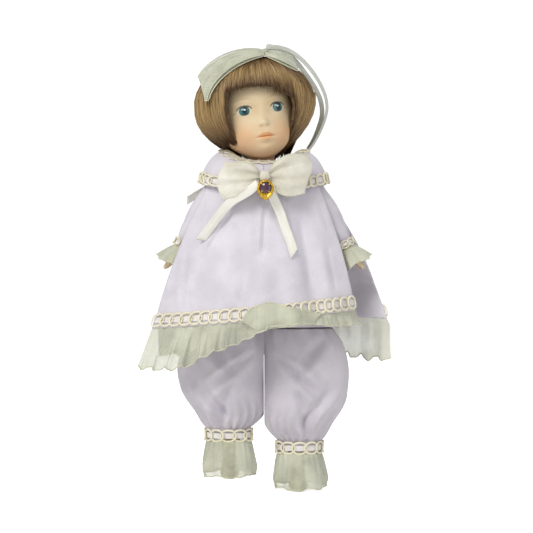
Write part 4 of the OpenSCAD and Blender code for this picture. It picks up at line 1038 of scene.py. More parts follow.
def collar_half(side):
    """The half from the middle of the front to the opening at the back, on the doll's left or right."""
    k = 1 if side == "left" else -1
    first, last = (np.radians(-90), np.radians(88)) if k > 0 else (np.radians(92), np.radians(270))
    a, s = np.linspace(first, last, 90)[None], np.linspace(0, 1, 20)[:, None]
    cape = piece("collar_" + side, grid_part(collar_at(a + 0 * s, s + 0 * a)), [lilac_weave],
                 None, "collar", thick=0.7)
    trim = lambda u, h, off: collar_at(mix(first, last, u), 0.885 + 0.11 * -np.asarray(h), off + 0.1)
    edge = braid("collar_braid_" + side, trim, 118, 8, None, "collar_braid", pitch=7.2, radius=0.74)
    for obj in (cape, edge):
        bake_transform(obj)
    return cape


def cape_area(obj):
    """Square metres of the mesh as made, before its wall is thickened."""
    return float(sum(p.area for p in obj.data.polygons))


for side in ("left", "right"):
    print("collar half", round(cape_area(collar_half(side)) * 1e6), "mm2")
lace = lambda u, h, off: collar_at(2 * np.pi * u - np.pi / 2, 0.2 - 0.17 * np.asarray(h), off * 0.8 + 0.2)
braid("neck_lace_ring", lace, 108, 6, "torso", "neck_lace", radius=0.5, pitch=4.6, closed=True)

# %% [markdown]
# ## The smock
# The smock is a front and a back panel, joined at the shoulders and open at the sides, that flare to a wide
# hem. A panel is a function of how far across (-1 to 1) and how high; folds are added as soft waves that
# grow towards the hem, with a few creases drawn as grooves along lines. The braid and the ruffle use the
# same function, so they follow every fold.

# %% Smock surfaces
HEM, TILT, SMOCK_TOP = floor + 110.0, 6.0, SHOULDER[2] + 6
HAND_FOOT = SHOULDER[2] - 62


def down(z):
    """0 at the armholes and 1 at the hem."""
    return (SMOCK_TOP - z) / (SMOCK_TOP - HEM)


def shoulder_or(z, high, low):
    """The panel's table above the armholes and low below them."""
    return np.where(z > SMOCK_TOP, read([[SMOCK_TOP + 7, high[0]], [SMOCK_TOP + 3.5, high[1]],
                                         [SMOCK_TOP, high[2]]], z), low)


def groove(x, z, line, width, depth):
    """A crease along a straight line between two points: a gaussian valley of the distance from it."""
    (x0, z0), (x1, z1) = line
    long = np.hypot(x1 - x0, z1 - z0)
    along = ((x - x0) * (x1 - x0) + (z - z0) * (z1 - z0)) / long**2
    away = ((x - x0) * (z1 - z0) - (z - z0) * (x1 - x0)) / long
    ends = ease(along * 5) * ease((1 - along) * 5)
    return ends * (-depth * np.exp(-(away / width) ** 2)
                   + 0.55 * depth * np.exp(-((away - 2.2 * width) / (1.3 * width)) ** 2))


FRONT_CREASES = [((1.5, 190), (-1, 148), 1.6, 1.5), ((-49, 160), (-53, 112), 1.8, 1.6),
                 ((-21, 178), (-37, 152), 1.5, 1.3),
                 ((22, 176), (30, 128), 2.2, 1.3), ((-8, 150), (-16, 118), 2.4, 1.0),
                 ((40, 160), (46, 126), 1.8, 1.1),
                 ((-34, 190), (-44, 160), 1.5, 1.0), ((34, 190), (42, 166), 1.5, 1.0)]


def front_at(u, z, off=0.0):
    """The front panel: half-widths to each side, a flat oval section and folds."""
    d = down(z)
    side = (shoulder_or(z, (0.5, 2.5, 10), read([[0, 10], [1, 16]], d))
            - 6 * ease((HAND_FOOT - z) / (HAND_FOOT - HEM + 2)))
    low = np.maximum(z, HEM - 8)
    deep = shoulder_or(low, (11.8, 15, 19), mix(19, 46, down(low)))
    wide = shoulder_or(z, (18, 27, 33), mix(33, np.where(u < 0, 70, 60), d)
                       + 3 * np.sin(np.pi * np.clip(d, 0, 1)))
    x = u * (wide + off)
    folds = (ease(d * 1.1) * (2.0 * np.sin(2.1 * np.pi * u + 0.7) + 1.5 * np.sin(5.3 * np.pi * u + 2.0))
             - 0.6 * ease(d))
    for a, b, width, depth in FRONT_CREASES:
        folds = folds + groove(x, z, ((a[0], a[1] + floor), (b[0], b[1] + floor)), width, depth)
    folds = folds * (1 - np.abs(u) ** 6) * ease((SMOCK_TOP + 1 - z) / 12)
    return np.stack(np.broadcast_arrays(x, -(side + off + (deep - side) * (1 - np.abs(u) ** 2.4)) - folds,
                                        z), -1)


def back_at(u, z, off=0.0):
    """The back panel, wider to the doll's left, with its opening's overlap down the middle."""
    low = np.maximum(z, HEM - 4)
    d = down(low)
    side = shoulder_or(low, (0.5, 2.5, 9.7), read([[0, 9.7], [0.35, 15.7], [1, 18.5]], d))
    side = side - 20 * ease((HAND_FOOT - z) / (HAND_FOOT - HEM + 2))
    deep = shoulder_or(low, (11.8, 15, 19), mix(19, 43, d))
    wide = shoulder_or(low, (18, 27, 33), mix(33, np.where(u < 0, 68, 80), d)
                       + np.where(u < 0, 2, 7) * np.sin(np.pi * np.clip(d, 0, 1)))
    x = u * (wide + off)
    folds = ease(d * 1.1) * (1.7 * np.sin(3.1 * np.pi * u + 0.4) + 1.0 * np.sin(6.7 * np.pi * u + 1.2))
    folds = folds - 0.8 * np.exp(-((x - 1.5) / 0.5) ** 2)
    folds = folds * (1 - np.abs(u) ** 6) * ease((SMOCK_TOP + 1 - z) / 12)
    return np.stack(np.broadcast_arrays(x, side + off + (deep - side) * (1 - np.abs(u) ** 2.4) + folds, z),
                    -1)


def front_hem(u):
    return HEM + TILT * u


def panel_grid(at, hem, first, last, rows=90, cols=150):
    """Rows from the shoulder seam down to the hem; across, packed evenly from one side to the other."""
    u, t = np.linspace(first, last, cols)[None], np.linspace(0, 1, rows)[:, None]
    z = np.where(t < 0.08, SMOCK_TOP + 7 * (1 - t / 0.08), mix(SMOCK_TOP, hem(u), (t - 0.08) / 0.92))
    return at(u + 0 * t, z)


def declared(obj, flat, area=None):
    """Prints the cut of a sheet, a rectangle unless area gives it in m2, beside its area as made. The cut is
    never the mesh's own area.
    """
    cut = area or flat[0] * flat[1]
    print(obj.name, "cut", round(cut * 1e4, 1), "cm2, made", round(cape_area(obj) * 1e4, 1), "cm2")
    return obj


front = piece("smock_front_panel", grid_part(panel_grid(front_at, front_hem, -1, 1)), [lilac_weave],
              "torso", "smock_front", thick=0.6)
back = piece("smock_back_panel", grid_part(panel_grid(back_at, lambda u: HEM + 0 * u, 1, -1)), [lilac_weave],
             "torso", "smock_back", thick=0.6)
# Each panel is cut as a trapezoid: the hem and the width over the shoulders, times the height, halved
shoulders = 2 * (SHOULDER[0] + 3) / 1000
for panel, hem_width in ((front, 0.170), (back, 0.185)):
    declared(panel, (hem_width, 0.105),
             area=(hem_width + shoulders) / 2 * 0.105)

# %% Bows as folded cloth
for loop, flat in ((bow, (0.026, 0.150)), (lobes["left"], (0.028, 0.060)), (lobes["right"], (0.025, 0.057))):
    declared(loop, flat)

# %% Hem braid
front_trim = lambda u, h, off: front_at(2 * u - 1, front_hem(2 * u - 1) + 5 + 4.4 * np.asarray(h), off + 0.2)
back_trim = lambda u, h, off: back_at(1 - 2 * u, HEM + 5 + 4.4 * np.asarray(h) + 0 * u, off + 0.2)
braid("hem_braid_front_trim", front_trim, 178, 9, "torso", "hem_braid_front", pitch=7.6, radius=0.8)
braid("hem_braid_back_trim", back_trim, 196, 9, "torso", "hem_braid_back", pitch=7.6, radius=0.8)

# %% [markdown]
# ## Organza ruffles
# A ruffle is gathered where it is sewn on, so it is smooth-edged at the top and waves more and more towards
# its free edge, where a rolled thread stiffens it. The waves are sines of how far along, with a slow change
# of size so that no two are alike. The front ruffle is two halves.

# %% Hem ruffles
FRONT_DROP = [[-1, 0.98], [-0.75, 1.04], [-0.6, 0.98], [-0.45, 0.7], [-0.25, 0.52], [-0.1, 0.34],
              [0.05, 0.135], [0.4, 0.135], [0.7, 0.3], [1, 0.34]]


def waves(u, count, seed):
    """Uneven waves: a main sine, a finer one, and a slow swell of their size."""
    chance = np.random.default_rng(seed).uniform(0, 2 * np.pi, 4)
    size = 0.75 + 0.35 * np.sin(5.1 * u + chance[0])
    return size * np.sin(2 * np.pi * count * u + 1.3 * np.sin(3.3 * u + chance[1])) + 0.3 * np.sin(
        4.7 * np.pi * count * u + chance[2])


def hem_ruffle(name, at, hem, first, last, drop, seed, stands_for, joint=None, cols=170, cut=0.026):
    """Hangs from the hem: outwards by its waves, down by its drop, which the waves also shorten a little.
    The strip it is cut from is as long as its free edge and cut metres deep."""
    u, t = np.linspace(first, last, cols)[None], np.linspace(0, 1, 16)[:, None]
    wave = waves(u, 9, seed)
    z = hem(u) + 1.2 - t * (25 * drop(u) + 1.5) * (1 - 0.05 * wave)
    out = (t * (3.6 + 2.4 * wave * np.minimum(1, 2.2 * drop(u)))
           + 0.3 * np.sin(2 * np.pi * 22 * u) * t * (1 - t) - 0.7 * (1 - t))
    away = 1 if at is back_at else -1
    cloth = (at(u + 0 * t, z)
             + np.stack(np.broadcast_arrays(0.9 * np.cos(2 * np.pi * 9 * u) * t, away * out, 0 * z), -1))
    parts = [grid_part(cloth), grid_part(tube(cloth[-1], (0, away, 0.2), 0.42), wrap=True, caps=True,
                                         finish=1)]
    obj = piece(name, parts, [sage_organza, rolled_thread], None if joint else "torso", stands_for)
    if joint:
        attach(obj, "torso")
        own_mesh(obj)
    length = length_of(cloth[-1]) / 1000
    return declared(obj, (length, cut))


hem_ruffle("front_ruffle_right", front_at, front_hem, -1, 0.02, lambda u: read(FRONT_DROP, u), 5,
           "hem_ruffle_front", "right_hip")
hem_ruffle("front_ruffle_left", front_at, front_hem, 0.02, 1, lambda u: read(FRONT_DROP, u), 6,
           "hem_ruffle_front", "left_hip", cut=0.011)
hem_ruffle("back_ruffle", back_at, lambda u: HEM + 0 * u, 1, -1, lambda u: 1 + 0.06 * np.sin(9 * u), 7,
           "hem_ruffle_back", cols=260)


def turned_up():
    """The stretch of ruffle that is folded up over the braid: steep on the right, long on the left."""
    u, t = np.linspace(-0.2, 0.62, 90)[None], np.linspace(0, 1, 14)[:, None]
    along = (u + 0.2) / 0.82
    high = 14.5 * (1 - np.exp(-11 * along)) * (1 - along**1.3) * (0.95 + 0.06 * np.sin(20 * u))
    base = front_hem(u) - (2 + 24 * read(FRONT_DROP, u)) * ease(along / 0.3) * ease((1 - along) / 0.2)
    z = base + t * (high + front_hem(u) - base)
    out = 2.8 + 1.4 * np.sin(np.pi * t) * np.sin(np.pi * along) ** 0.5 + 0.5 * np.sin(24 * u + 2 * t) * t
    grid = front_at(u + 0 * t, z, 0) - np.stack(np.broadcast_arrays(0, out, 0 * z), -1)
    return grid[::-1]


fold = turned_up()
declared(piece("front_ruffle_turnup",
               [grid_part(fold), grid_part(tube(fold[0], (0, -1, 0), 0.4), wrap=True, caps=True, finish=1)],
               [sage_organza, rolled_thread], "torso"), (0.062, 0.018))

# %% [markdown]
# ## Sleeves and cuffs
# Each sleeve is a soft tube down to the cuff. Its cuff carries a braid and a short ruffle, and the bisque
# hand shows below it. The right side is the left side mirrored, with the order of its columns turned round so
# that its faces still look out.

# %% Arms
on_arm = lambda p: turned(p, lean=ARM, at=place["left_shoulder"])
ELBOW, WRIST = 27.0, 17.0
CUFF = -ELBOW - WRIST + 3 - 0.3
SLEEVE_R = 9.0


def ring_of(a, r, z, squeeze=1.0):
    return np.stack(np.broadcast_arrays(r * np.cos(a), r * squeeze * np.sin(a), z), -1)


def both_sides(maker):
    """The left piece as made and the right one mirrored."""
    for side in ("left", "right"):
        maker(side, (lambda p: p) if side == "left" else mirrored, side == "right")


def arm_pieces(side, put, flip):
    a = np.linspace(0, 2 * np.pi, 56, endpoint=False)[None]
    z = np.linspace(7.2, -(ELBOW + WRIST + 0.5), 50)[:, None]
    stops = [[7.2, 3.8], [6, 5.3], [3, 7.3], [-2, 8.3], [-10, 9.0], [-27, 9.6], [-35, 8.6], [-40.6, 6.9],
             [-41.4, 6.3], [-45, 6.1]]
    r = (read(stops, z) + 0.35 * np.sin(9 * a + 0.12 * z) * ease((-z - 24) / 14)
         + 0.4 * np.sin(2 * a + 0.25 * z) - 0.2)
    sleeve = piece(side + "_sleeve_tube", grid_part(put(on_arm(ring_of(a, r, z))), wrap=True, flip=flip),
                   [lilac_weave],
                   None, side + "_sleeve", thick=0.5)
    start, end = (put(on_arm(np.array([0, 0, -ELBOW + k]))) / 1000 for k in (8, -8))
    tuple(start)
    tuple(end)
    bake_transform(sleeve)
    declared(sleeve, (0.058, 0.051))
    lower = side + "_lower_arm"
    trim = lambda u, h, off: put(on_arm(ring_of(2 * np.pi * u, SLEEVE_R - 1.9 + off,
                                                CUFF - 2.7 + 2.5 * np.asarray(h))))
    braid(side + "_cuff_trim", trim, 46, 5.4, lower, side + "_cuff_braid", radius=0.5, pitch=5.2, closed=True)
    a, t = np.linspace(0, 2 * np.pi, 120, endpoint=False)[None], np.linspace(0, 1, 14)[:, None]
    flare = (mix(SLEEVE_R - 2.9, SLEEVE_R + 3.6, t ** 0.8) + 1.1 * t * np.sin(7 * a + 0.8)
             + 0.5 * t * np.sin(13 * a))
    cloth = put(on_arm(ring_of(a, flare, CUFF - 4.6 - 13 * t + 0.9 * t * np.sin(4 * a + 1))))
    edge = tube(np.concatenate([cloth[-1], cloth[-1][:1]]),
                put(on_arm(np.array([0, 0, -99.0]))) - put(on_arm(np.zeros(3))), 0.34)
    ruffle = piece(side + "_cuff_frill",
                   [grid_part(cloth, wrap=True, flip=flip), grid_part(edge, wrap=True, finish=1, flip=flip)],
                   [sage_organza, rolled_thread], lower, side + "_cuff_ruffle", weld=True)
    declared(ruffle, (0.090, 0.014))


both_sides(arm_pieces)

# %% [markdown]
# ## Bisque hands and feet
# Hands and feet are poured in small moulds, so they are simple: a tapering wrist and a mitten hand whose
# fingers are only grooves, a leg with a groove where the cloth is tied on, and a bare foot with shallow
# toes. Each is one skin of rings joined smoothly, with the grooves pressed into it.

# %% Hands
def forearm(side, put, flip):
    """Rings from the elbow ball down to the fingertips: (distance down, half-width, half-depth)."""
    rings = smooth([[-5.4, 1.0, 1.0], [-4.4, 3.2, 3.2], [0, 5.5, 5.5], [4.1, 5.5, 5.5], [4.7, 4.5, 4.5],
                    [6.3, 4.5, 4.5],
                    [6.9, 5.4, 5.4], [12, 4.4, 4.4], [17, 3.4, 3.5], [20, 3.0, 3.7], [24, 2.9, 4.6],
                    [28, 2.6, 4.9],
                    [32, 2.2, 4.5], [35, 1.7, 3.4], [36.6, 0.9, 1.6], [37, 0.2, 0.4]], 90)
    a = np.linspace(0, 2 * np.pi, 64, endpoint=False)[None]
    s, wide, deep = (rings[:, k, None] for k in range(3))
    hand = ease((s - 25) / 3) * ease((36.5 - s) / 2)
    fingers = 1 - 0.09 * hand * np.exp(-((np.sin(a) * 4 + 0.6) % 2 - 1) ** 2 / 0.05)
    x = wide * fingers * np.cos(a) + 0.25 * np.clip(s - 18, 0, None)
    y = deep * np.sin(a) - 0.4 * ease((s - 18) / 4)
    skin = on_arm(np.stack([x, y, -ELBOW - s + 0 * a], -1))
    # Thumb: a short bent tube with a round tip, to the front
    path = smooth([[0.6, -3.0, -ELBOW - 20], [1.0, -4.9, -ELBOW - 23], [1.6, -5.9, -ELBOW - 26.5],
                   [2.0, -6.0, -ELBOW - 29.2]], 16)
    girth = 1.5 * np.sqrt(np.clip(1 - np.linspace(0, 1, 16) ** 5, 0.01, 1))
    thumb = on_arm(tube(path, (-1, 0, 0), girth, None, 14))
    piece(side + "_bisque_hand", [grid_part(put(skin), wrap=True, caps=True, flip=flip),
                                  grid_part(put(thumb), wrap=True, caps=True, flip=flip)],
          [plain_bisque], side + "_lower_arm", side + "_forearm")


both_sides(forearm)


# %% Feet
def bare_leg(side, put, flip):
    """The shin as rings down the leg, and the foot as rings from the heel forward with toes pressed in."""
    knee = place[side + "_knee"][2]
    sole = knee - 54.0
    a = np.linspace(0, 2 * np.pi, 64, endpoint=False)[None]
    shin = smooth([[8.0, 0.8], [7.0, 4.0], [4.5, 6.6], [0, 8], [-7.5, 8], [-8.1, 7], [-9.9, 7], [-10.5, 8],
                   [-16, 8.2],
                   [-26, 7.1], [-36, 5.4], [-44, 4.9], [-49, 4.4], [-50, 4.2]], 80)
    leg = ring_of(a, shin[:, 1, None], knee + shin[:, 0, None]) + [HIP[0], 0, 0]
    s = np.linspace(0.002, 0.998, 60)[:, None]
    high = read([[0, 1.6], [0.06, 4.0], [0.15, 5.6], [0.4, 6.3], [0.6, 5.2], [0.75, 3.9], [0.92, 2.9],
                 [1, 1.2]], s)
    wide = read([[0, 1.6], [0.05, 3.7], [0.15, 4.7], [0.4, 5.0], [0.75, 6.2], [0.9, 5.6], [0.97, 4.4],
                 [1, 2.2]], s)
    toes = ease((s - 0.84) / 0.1) * np.clip(np.sin(a), 0, 1)
    lobes = np.cos(np.cos(a) * np.pi * 2.5) * 0.5
    y = 6.5 - 27 * s + 0.8 * toes * lobes * (s > 0.9)
    z = sole + np.maximum(0, high + high * 1.12 * np.sin(a) + toes * lobes * 0.8)
    foot = np.stack(np.broadcast_arrays(HIP[0] - wide * np.cos(a) * 1.0, y, z), -1)
    piece(side + "_bisque_leg", [grid_part(put(leg), wrap=True, caps=True, flip=flip),
                                 grid_part(put(foot), wrap=True, caps=True, flip=flip)],
          [plain_bisque], side + "_lower_leg", side + "_leg")


both_sides(bare_leg)

# %% [markdown]
# ## Bloomers
# The bloomers are puffed: gathered at the waist and again above each ankle, full between. Each leg is rings
# whose radius is a smooth curve of widths, with gathers near its ends and a few slanting folds. The seat is
# two halves.

# %% Bloomer legs, ankle trims and seat
ANKLE = 31.5  # from the sole to the top of the ankle braid


def bloomer_leg(side, put, flip):
    """Rings from the hip to the ankle, with fine gathers near the ends and folds as slanting valleys."""
    k = 1 if side == "left" else -1
    lift = place[side + "_knee"][2] - place["left_knee"][2]
    a, t = np.linspace(0, 2 * np.pi, 160, endpoint=False)[None], np.linspace(0, 1.07, 80)[:, None]
    wide = curve([[0, 23], [0.15, 26.4], [0.4, 28.9], [0.6, 28.6], [0.7, 27.3], [0.78, 25.3], [0.86, 22.4],
                  [0.93, 19.2], [0.995, 15.2], [1.01, 13.9], [1.07, 13.6]], t)
    deep = curve([[0, 17.5], [0.15, 20], [0.4, 21.8], [0.65, 22.2], [0.78, 20.8], [0.88, 18.2],
                  [0.95, 15.0], [0.995, 12.8], [1.01, 11.7], [1.07, 11.5]], t)
    wobble = 0.8 * np.sin(2 * a * k + 5.5 * t + 1) + 0.7 * np.sin(3 * a - 7 * t + 2 * k)
    gather = (1.15 * np.sin(17 * a + 2 * np.sin(3 * a)) * ease((t - 0.66) / 0.3) * ease((1.03 - t) / 0.03)
              + 0.7 * np.sin(13 * a) * ease((0.3 - t) / 0.3))
    around = lambda turn: np.angle(np.exp(1j * (a - turn)))
    valley = lambda turn, width: (np.exp(-(around(turn) / width) ** 2)
                                  - 0.55 * np.exp(-(around(turn + 2.1 * width) / (1.2 * width)) ** 2))
    slant = -sum(depth * valley(start + lean * t, width) * ease((t - first) / 0.14) * ease((last - t) / 0.2)
                 for depth, start, lean, width, first, last in (
                     (4.2, -2.9, 2.6, 0.15, 0.2, 0.62), (3.8, -0.9, -2.2, 0.15, 0.06, 0.5),
                     (4.0, -2.6, 1.4, 0.12, 0.5, 0.97),
                     (3.4, -0.5, -1.1, 0.13, 0.5, 0.97), (3.2, -1.75, 0.5, 0.1, 0.6, 1.0),
                     (3.4, 0.9, 1.0, 0.15, 0.1, 0.8),
                     (3.4, 2.6, -0.9, 0.15, 0.2, 0.9)))
    r = (wobble * np.sin(np.pi * np.minimum(t, 1)) + slant) + gather - 0.5
    middle = mix(wide - 1.4, HIP[0] + 1, ease((t - 0.7) / 0.3))
    x = middle + (wide + r) * np.cos(a)
    x = np.maximum(x, 0.15)
    z = mix(HIP[2] + 8, floor + ANKLE + lift, t)
    leg = np.stack(np.broadcast_arrays(x, (deep + r) * np.sin(a), z), -1)
    obj = piece(side + "_bloomer_leg", grid_part(put(leg), wrap=True, flip=flip), [bloomer_weave],
                None,
                side + "_bloomer", thick=0.5)
    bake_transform(obj)
    declared(obj, (0.155, 0.076))
    lower, top = side + "_lower_leg", floor + ANKLE - 0.3 + lift
    trim = lambda u, h, off: put(np.array([HIP[0] + 1, 0, 0]) + ring_of(
        2 * np.pi * np.asarray(u), 14.6 + off, top - 4.5 + 4.2 * np.asarray(h), 0.85))
    braid(side + "_ankle_trim", trim, 86, 9, lower, side + "_ankle_braid", pitch=7.4, radius=0.76,
          closed=True)
    a, t = np.linspace(0, 2 * np.pi, 160, endpoint=False)[None], np.linspace(0, 1, 20)[:, None]
    foot, head = floor + 1.3 + lift, top - 7.2
    flare = 1.3 * t * np.sin(7 * a + k) + 0.7 * t * np.sin(12 * a + 2) + 0.4 * np.sin(24 * a) * (1 - t)
    cloth = put(np.stack(np.broadcast_arrays(
        HIP[0] + 1 + (mix(13.2, 18, np.sqrt(t)) + flare - 2.2 * ease((t - 0.75) / 0.3)) * np.cos(a),
        (-5.5 * ease(t * 1.3)
         + (mix(11.8, 20.5, np.sqrt(t)) + flare - 2.2 * ease((t - 0.75) / 0.3)) * np.sin(a)),
        mix(head, foot, t) + 1.1 * t * np.clip(np.sin(5 * a + 1), 0, 1) * ease(t * 2)), -1))
    edge = tube(np.concatenate([cloth[-1], cloth[-1][:1]]), (0, 0, -1), 0.42)
    frill = piece(side + "_ankle_frill", [grid_part(cloth, wrap=True, flip=flip),
                                          grid_part(edge, wrap=True, finish=1, flip=flip)],
                  [sage_organza, rolled_thread], lower, side + "_ankle_ruffle", weld=True)
    declared(frill, (0.140, 0.023))
    # Half of the seat, from the middle of the front to the middle of the back
    a, t = np.linspace(-np.pi / 2, np.pi / 2, 90)[None], np.linspace(0, 1, 36)[:, None]
    wide = (read([[0, 23.5], [0.2, 30], [0.6, 44], [1, 50]], t) + 0.6 * np.sin(17 * a) * (1 - t)
            + 0.5 * np.sin(8 * a + 3 * t))
    deep = read([[0, 15.8], [0.2, 19], [0.6, 22.5], [1, 22]], t) + 0.6 * np.sin(17 * a) * (1 - t)
    z = mix(floor + 141, floor + 104.8, t)
    seat = put(np.stack(np.broadcast_arrays(wide * np.cos(a), deep * np.sin(a), z), -1))
    obj = piece(side + "_bloomer_seat", grid_part(seat, flip=flip), [bloomer_weave], None,
                "bloomer_seat",
                thick=0.5)
    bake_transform(obj)
    declared(obj, (0.085, 0.044))


both_sides(bloomer_leg)

# %% [markdown]
# ## The brooch
# A cut stone in a gilt setting that ends below in a heart-like foot, with beading round the stone and four
# prongs over its edge. The stone is rings of few sides joined by flat faces, so it catches the light as
# facets do.

# %% Brooch
PIN = np.array([1.0, -38.0, SHOULDER[2] - 4.4])
STONE_R = 3.6


def on_pin(x, y, out):
    """A place on the brooch: across, up and outwards from its back."""
    return PIN + np.stack(np.broadcast_arrays(x, -np.asarray(out, float), y), -1)


def setting():
    """Rings from the back to the rim and down to the stone's seat. The outline is a circle with a foot."""
    a = np.linspace(0, 2 * np.pi, 96, endpoint=False)[None]
    foot = (1 + 0.42 * np.clip(-np.sin(a), 0, 1) ** 6
            + 0.05 * np.clip(np.cos(a) ** 2 * 4 * np.sin(a) ** 2, 0, 1) * (np.sin(a) < 0))
    profile = [[0.02, 0], [0.96, 0], [1.0, 0.5], [1.0, 1.2], [0.96, 1.7], [0.88, 1.95], [0.8, 1.9],
               [0.74, 1.5], [0.72, 0.7], [0.02, 0.7]]
    r, out = (smooth(profile, 40)[:, k, None] for k in (0, 1))
    own = np.where(r > 0.8, foot, 1 + (foot - 1) * ease((r - 0.72) / 0.08))
    x, y = (STONE_R + 1.5) * r * own * np.cos(a), 1.4 + (STONE_R + 1.5) * r * own * np.sin(a)
    grooves = 0.18 * np.cos(24 * a) * (r > 0.9) * (out > 0.6)
    body = on_pin(x, y, out + grooves)
    beads = np.arange(22) * 2 * np.pi / 22
    p, q = np.linspace(0.15, np.pi - 0.15, 6)[:, None], np.linspace(0, 2 * np.pi, 8, endpoint=False)[None]
    ball = 0.42 * np.stack(np.broadcast_arrays(np.sin(p) * np.cos(q), np.sin(p) * np.sin(q), np.cos(p)), -1)
    where = on_pin(4.1 * np.cos(beads), 1.4 + 4.1 * np.sin(beads), 1.85)
    claws = np.radians([45, 135, 225, 315])[:, None]
    s = np.linspace(4.2, 2.7, 7)[None]
    claw = tube(on_pin(s * np.cos(claws), 1.4 + s * np.sin(claws),
                       1.9 + 0.9 * np.sin((4.2 - s) / 1.5 * 1.9)), (0, -1, 0), 0.32, 0.26, 7)
    heart = on_pin(0, -3.6, 1.6) + 0.95 / 0.42 * ball[::-1] * [0.8, 0.5, 0.8] * [1, 1, 1]
    return [grid_part(body[::-1], wrap=True, caps=True),
            grid_part(where[:, None, None] + ball, wrap=True, caps=True),
            grid_part(claw, wrap=True, caps=True), grid_part(heart, wrap=True, caps=True, flip=True)]


piece("brooch_bezel", setting(), [gilt], "torso", "brooch_setting")
a = np.linspace(0, 2 * np.pi, 12, endpoint=False)[None] + np.array([0, 0, 0, 1, 1, 0])[:, None] * np.pi / 12
r = STONE_R * np.array([0.3, 0.98, 1.0, 0.82, 0.55, 0.52])[:, None]
out = np.array([0.86, 0.9, 1.9, 2.7, 3.2, 3.22])[:, None]
stone = on_pin(r * np.cos(a), 1.4 + r * np.sin(a), out + 0 * a)
gem = piece("brooch_stone", grid_part(stone[::-1], wrap=True, caps=True), [plum_stone], "torso",
            "brooch_gem",
            smooth_faces=False)
print("brooch", (gem.dimensions[0] * 1000).__round__(1), "mm stone")

# %% [markdown]
# ## Inside the clothes
# The body, upper arms and thighs are muslin cases stuffed with fibre. Each starts as a slightly slim shape;
# a cloth simulation with pressure inside and no gravity then swells it, as stuffing does, and the swell is
# limited so that it stays clear of the bisque and the clothes. Cords tie the cloth into the grooves of the
# bisque, an elastic gathers the waist, and a net cap sits under the wig.

# %% Stuffed cloth
def swollen(obj, cap, voxel=0.0045):
    """Remeshes the case, blows it up as cloth for 20 frames and moves each point at most cap metres."""
    scene = bpy.context.scene
    bpy.context.view_layer.objects.active = obj
    remesh = obj.modifiers.new("even", "REMESH")
    remesh.mode, remesh.voxel_size = "VOXEL", voxel
    bpy.ops.object.modifier_apply(modifier="even")
    mesh = obj.data
    start = np.zeros(len(mesh.vertices) * 3)
    mesh.vertices.foreach_get("co", start)
    cloth = obj.modifiers.new("stuffing", "CLOTH")
    cloth.settings.use_pressure, cloth.settings.uniform_pressure_force = True, 4
    cloth.settings.effector_weights.gravity = 0
    cloth.settings.quality = 5
    for frame_number in range(1, 21):
        scene.frame_set(frame_number)
    shown = obj.evaluated_get(bpy.context.evaluated_depsgraph_get()).data
    after = np.zeros(len(start))
    if len(shown.vertices) * 3 == len(start):
        shown.vertices.foreach_get("co", after)
        move = (after - start).reshape(-1, 3)
        far = np.linalg.norm(move, axis=1, keepdims=True)
        move = move * np.minimum(1, cap / np.maximum(far, 1e-9))
        start = start + move.ravel()
    obj.modifiers.remove(cloth)
    scene.frame_set(1)
    mesh.vertices.foreach_set("co", start)
    finer = obj.modifiers.new("finer", "SUBSURF")
    finer.levels = finer.render_levels = 1
    bpy.ops.object.modifier_apply(modifier="finer")
    obj.data.polygons.foreach_set("use_smooth", [True] * len(obj.data.polygons))
    obj.data.update()
    return obj


def stuffed(name, rings, body, node, flip=False, put=lambda p: p, cap=0.0006):
    """A case from rings of (height, half-width, half-depth, middle x), closed at both ends."""
    ring = smooth(rings, 30)
    a = np.linspace(0, 2 * np.pi, 40, endpoint=False)[None]
    z, wide, deep, middle = (ring[:, k, None] for k in range(4))
    case = put(np.stack(np.broadcast_arrays(middle + wide * np.cos(a), deep * np.sin(a), z), -1))
    obj = piece(name, grid_part(case, wrap=True, caps=True, flip=flip), [muslin], body, node)
    swollen(obj, cap)
    print(name, len(obj.data.polygons), "faces")
    return obj


up = lambda h: h + floor
stuffed("stuffed_body", [[up(184), 9.5, 8, 0], [up(183), 13.2, 10, 0], [up(179.4), 14.2, 11, 0],
                         [up(176.5), 17.6, 11.6, 0],
                         [up(166), 19.4, 12, 0], [up(145), 20, 11.6, 0], [up(123), 24.6, 13, 0],
                         [up(112), 23.6, 12.4, 0], [up(109), 20, 9.6, 0]], "torso", "cloth_body")


def limbs(side, put, flip):
    lift = place[side + "_knee"][2] - place["left_knee"][2]
    reach = ELBOW - 5.5 - 0.3
    arm = lambda p: put(turned(p, lean=ARM, at=SHOULDER))
    stuffed(side + "_arm_stuffed", [[6.2, 1.8, 1.8, 0], [5.2, 4.0, 4.0, 0], [3, 5.6, 5.6, 0],
                                    [0, 6.2, 6.2, 0], [-5, 5.3, 5.3, 0],
                                    [-14, 5.5, 5.5, 0], [1.0 - reach, 5.0, 5.0, 0],
                                    [0.4 - reach, 3.4, 3.4, 0]],
            side + "_arm", side + "_upper_arm", flip, arm)
    top, foot = HIP[2], HIP[2] - (33.5 - lift) + 0.6
    stuffed(side + "_thigh_stuffed", [[top + 11, 3, 3, HIP[0]], [top + 9.6, 6.2, 6.2, HIP[0]],
                                      [top + 6, 9.6, 9.6, HIP[0]],
                                      [top, 11.2, 11.2, HIP[0]], [top - 10, 10.4, 10.4, HIP[0]],
                                      [mix(top, foot, 0.7), 9.4, 9.4, HIP[0]], [foot + 1.4, 7.8, 7.8, HIP[0]],
                                      [foot, 5.0, 5.0, HIP[0]]], side + "_upper_leg", side + "_thigh",
                                      flip, put)


both_sides(limbs)

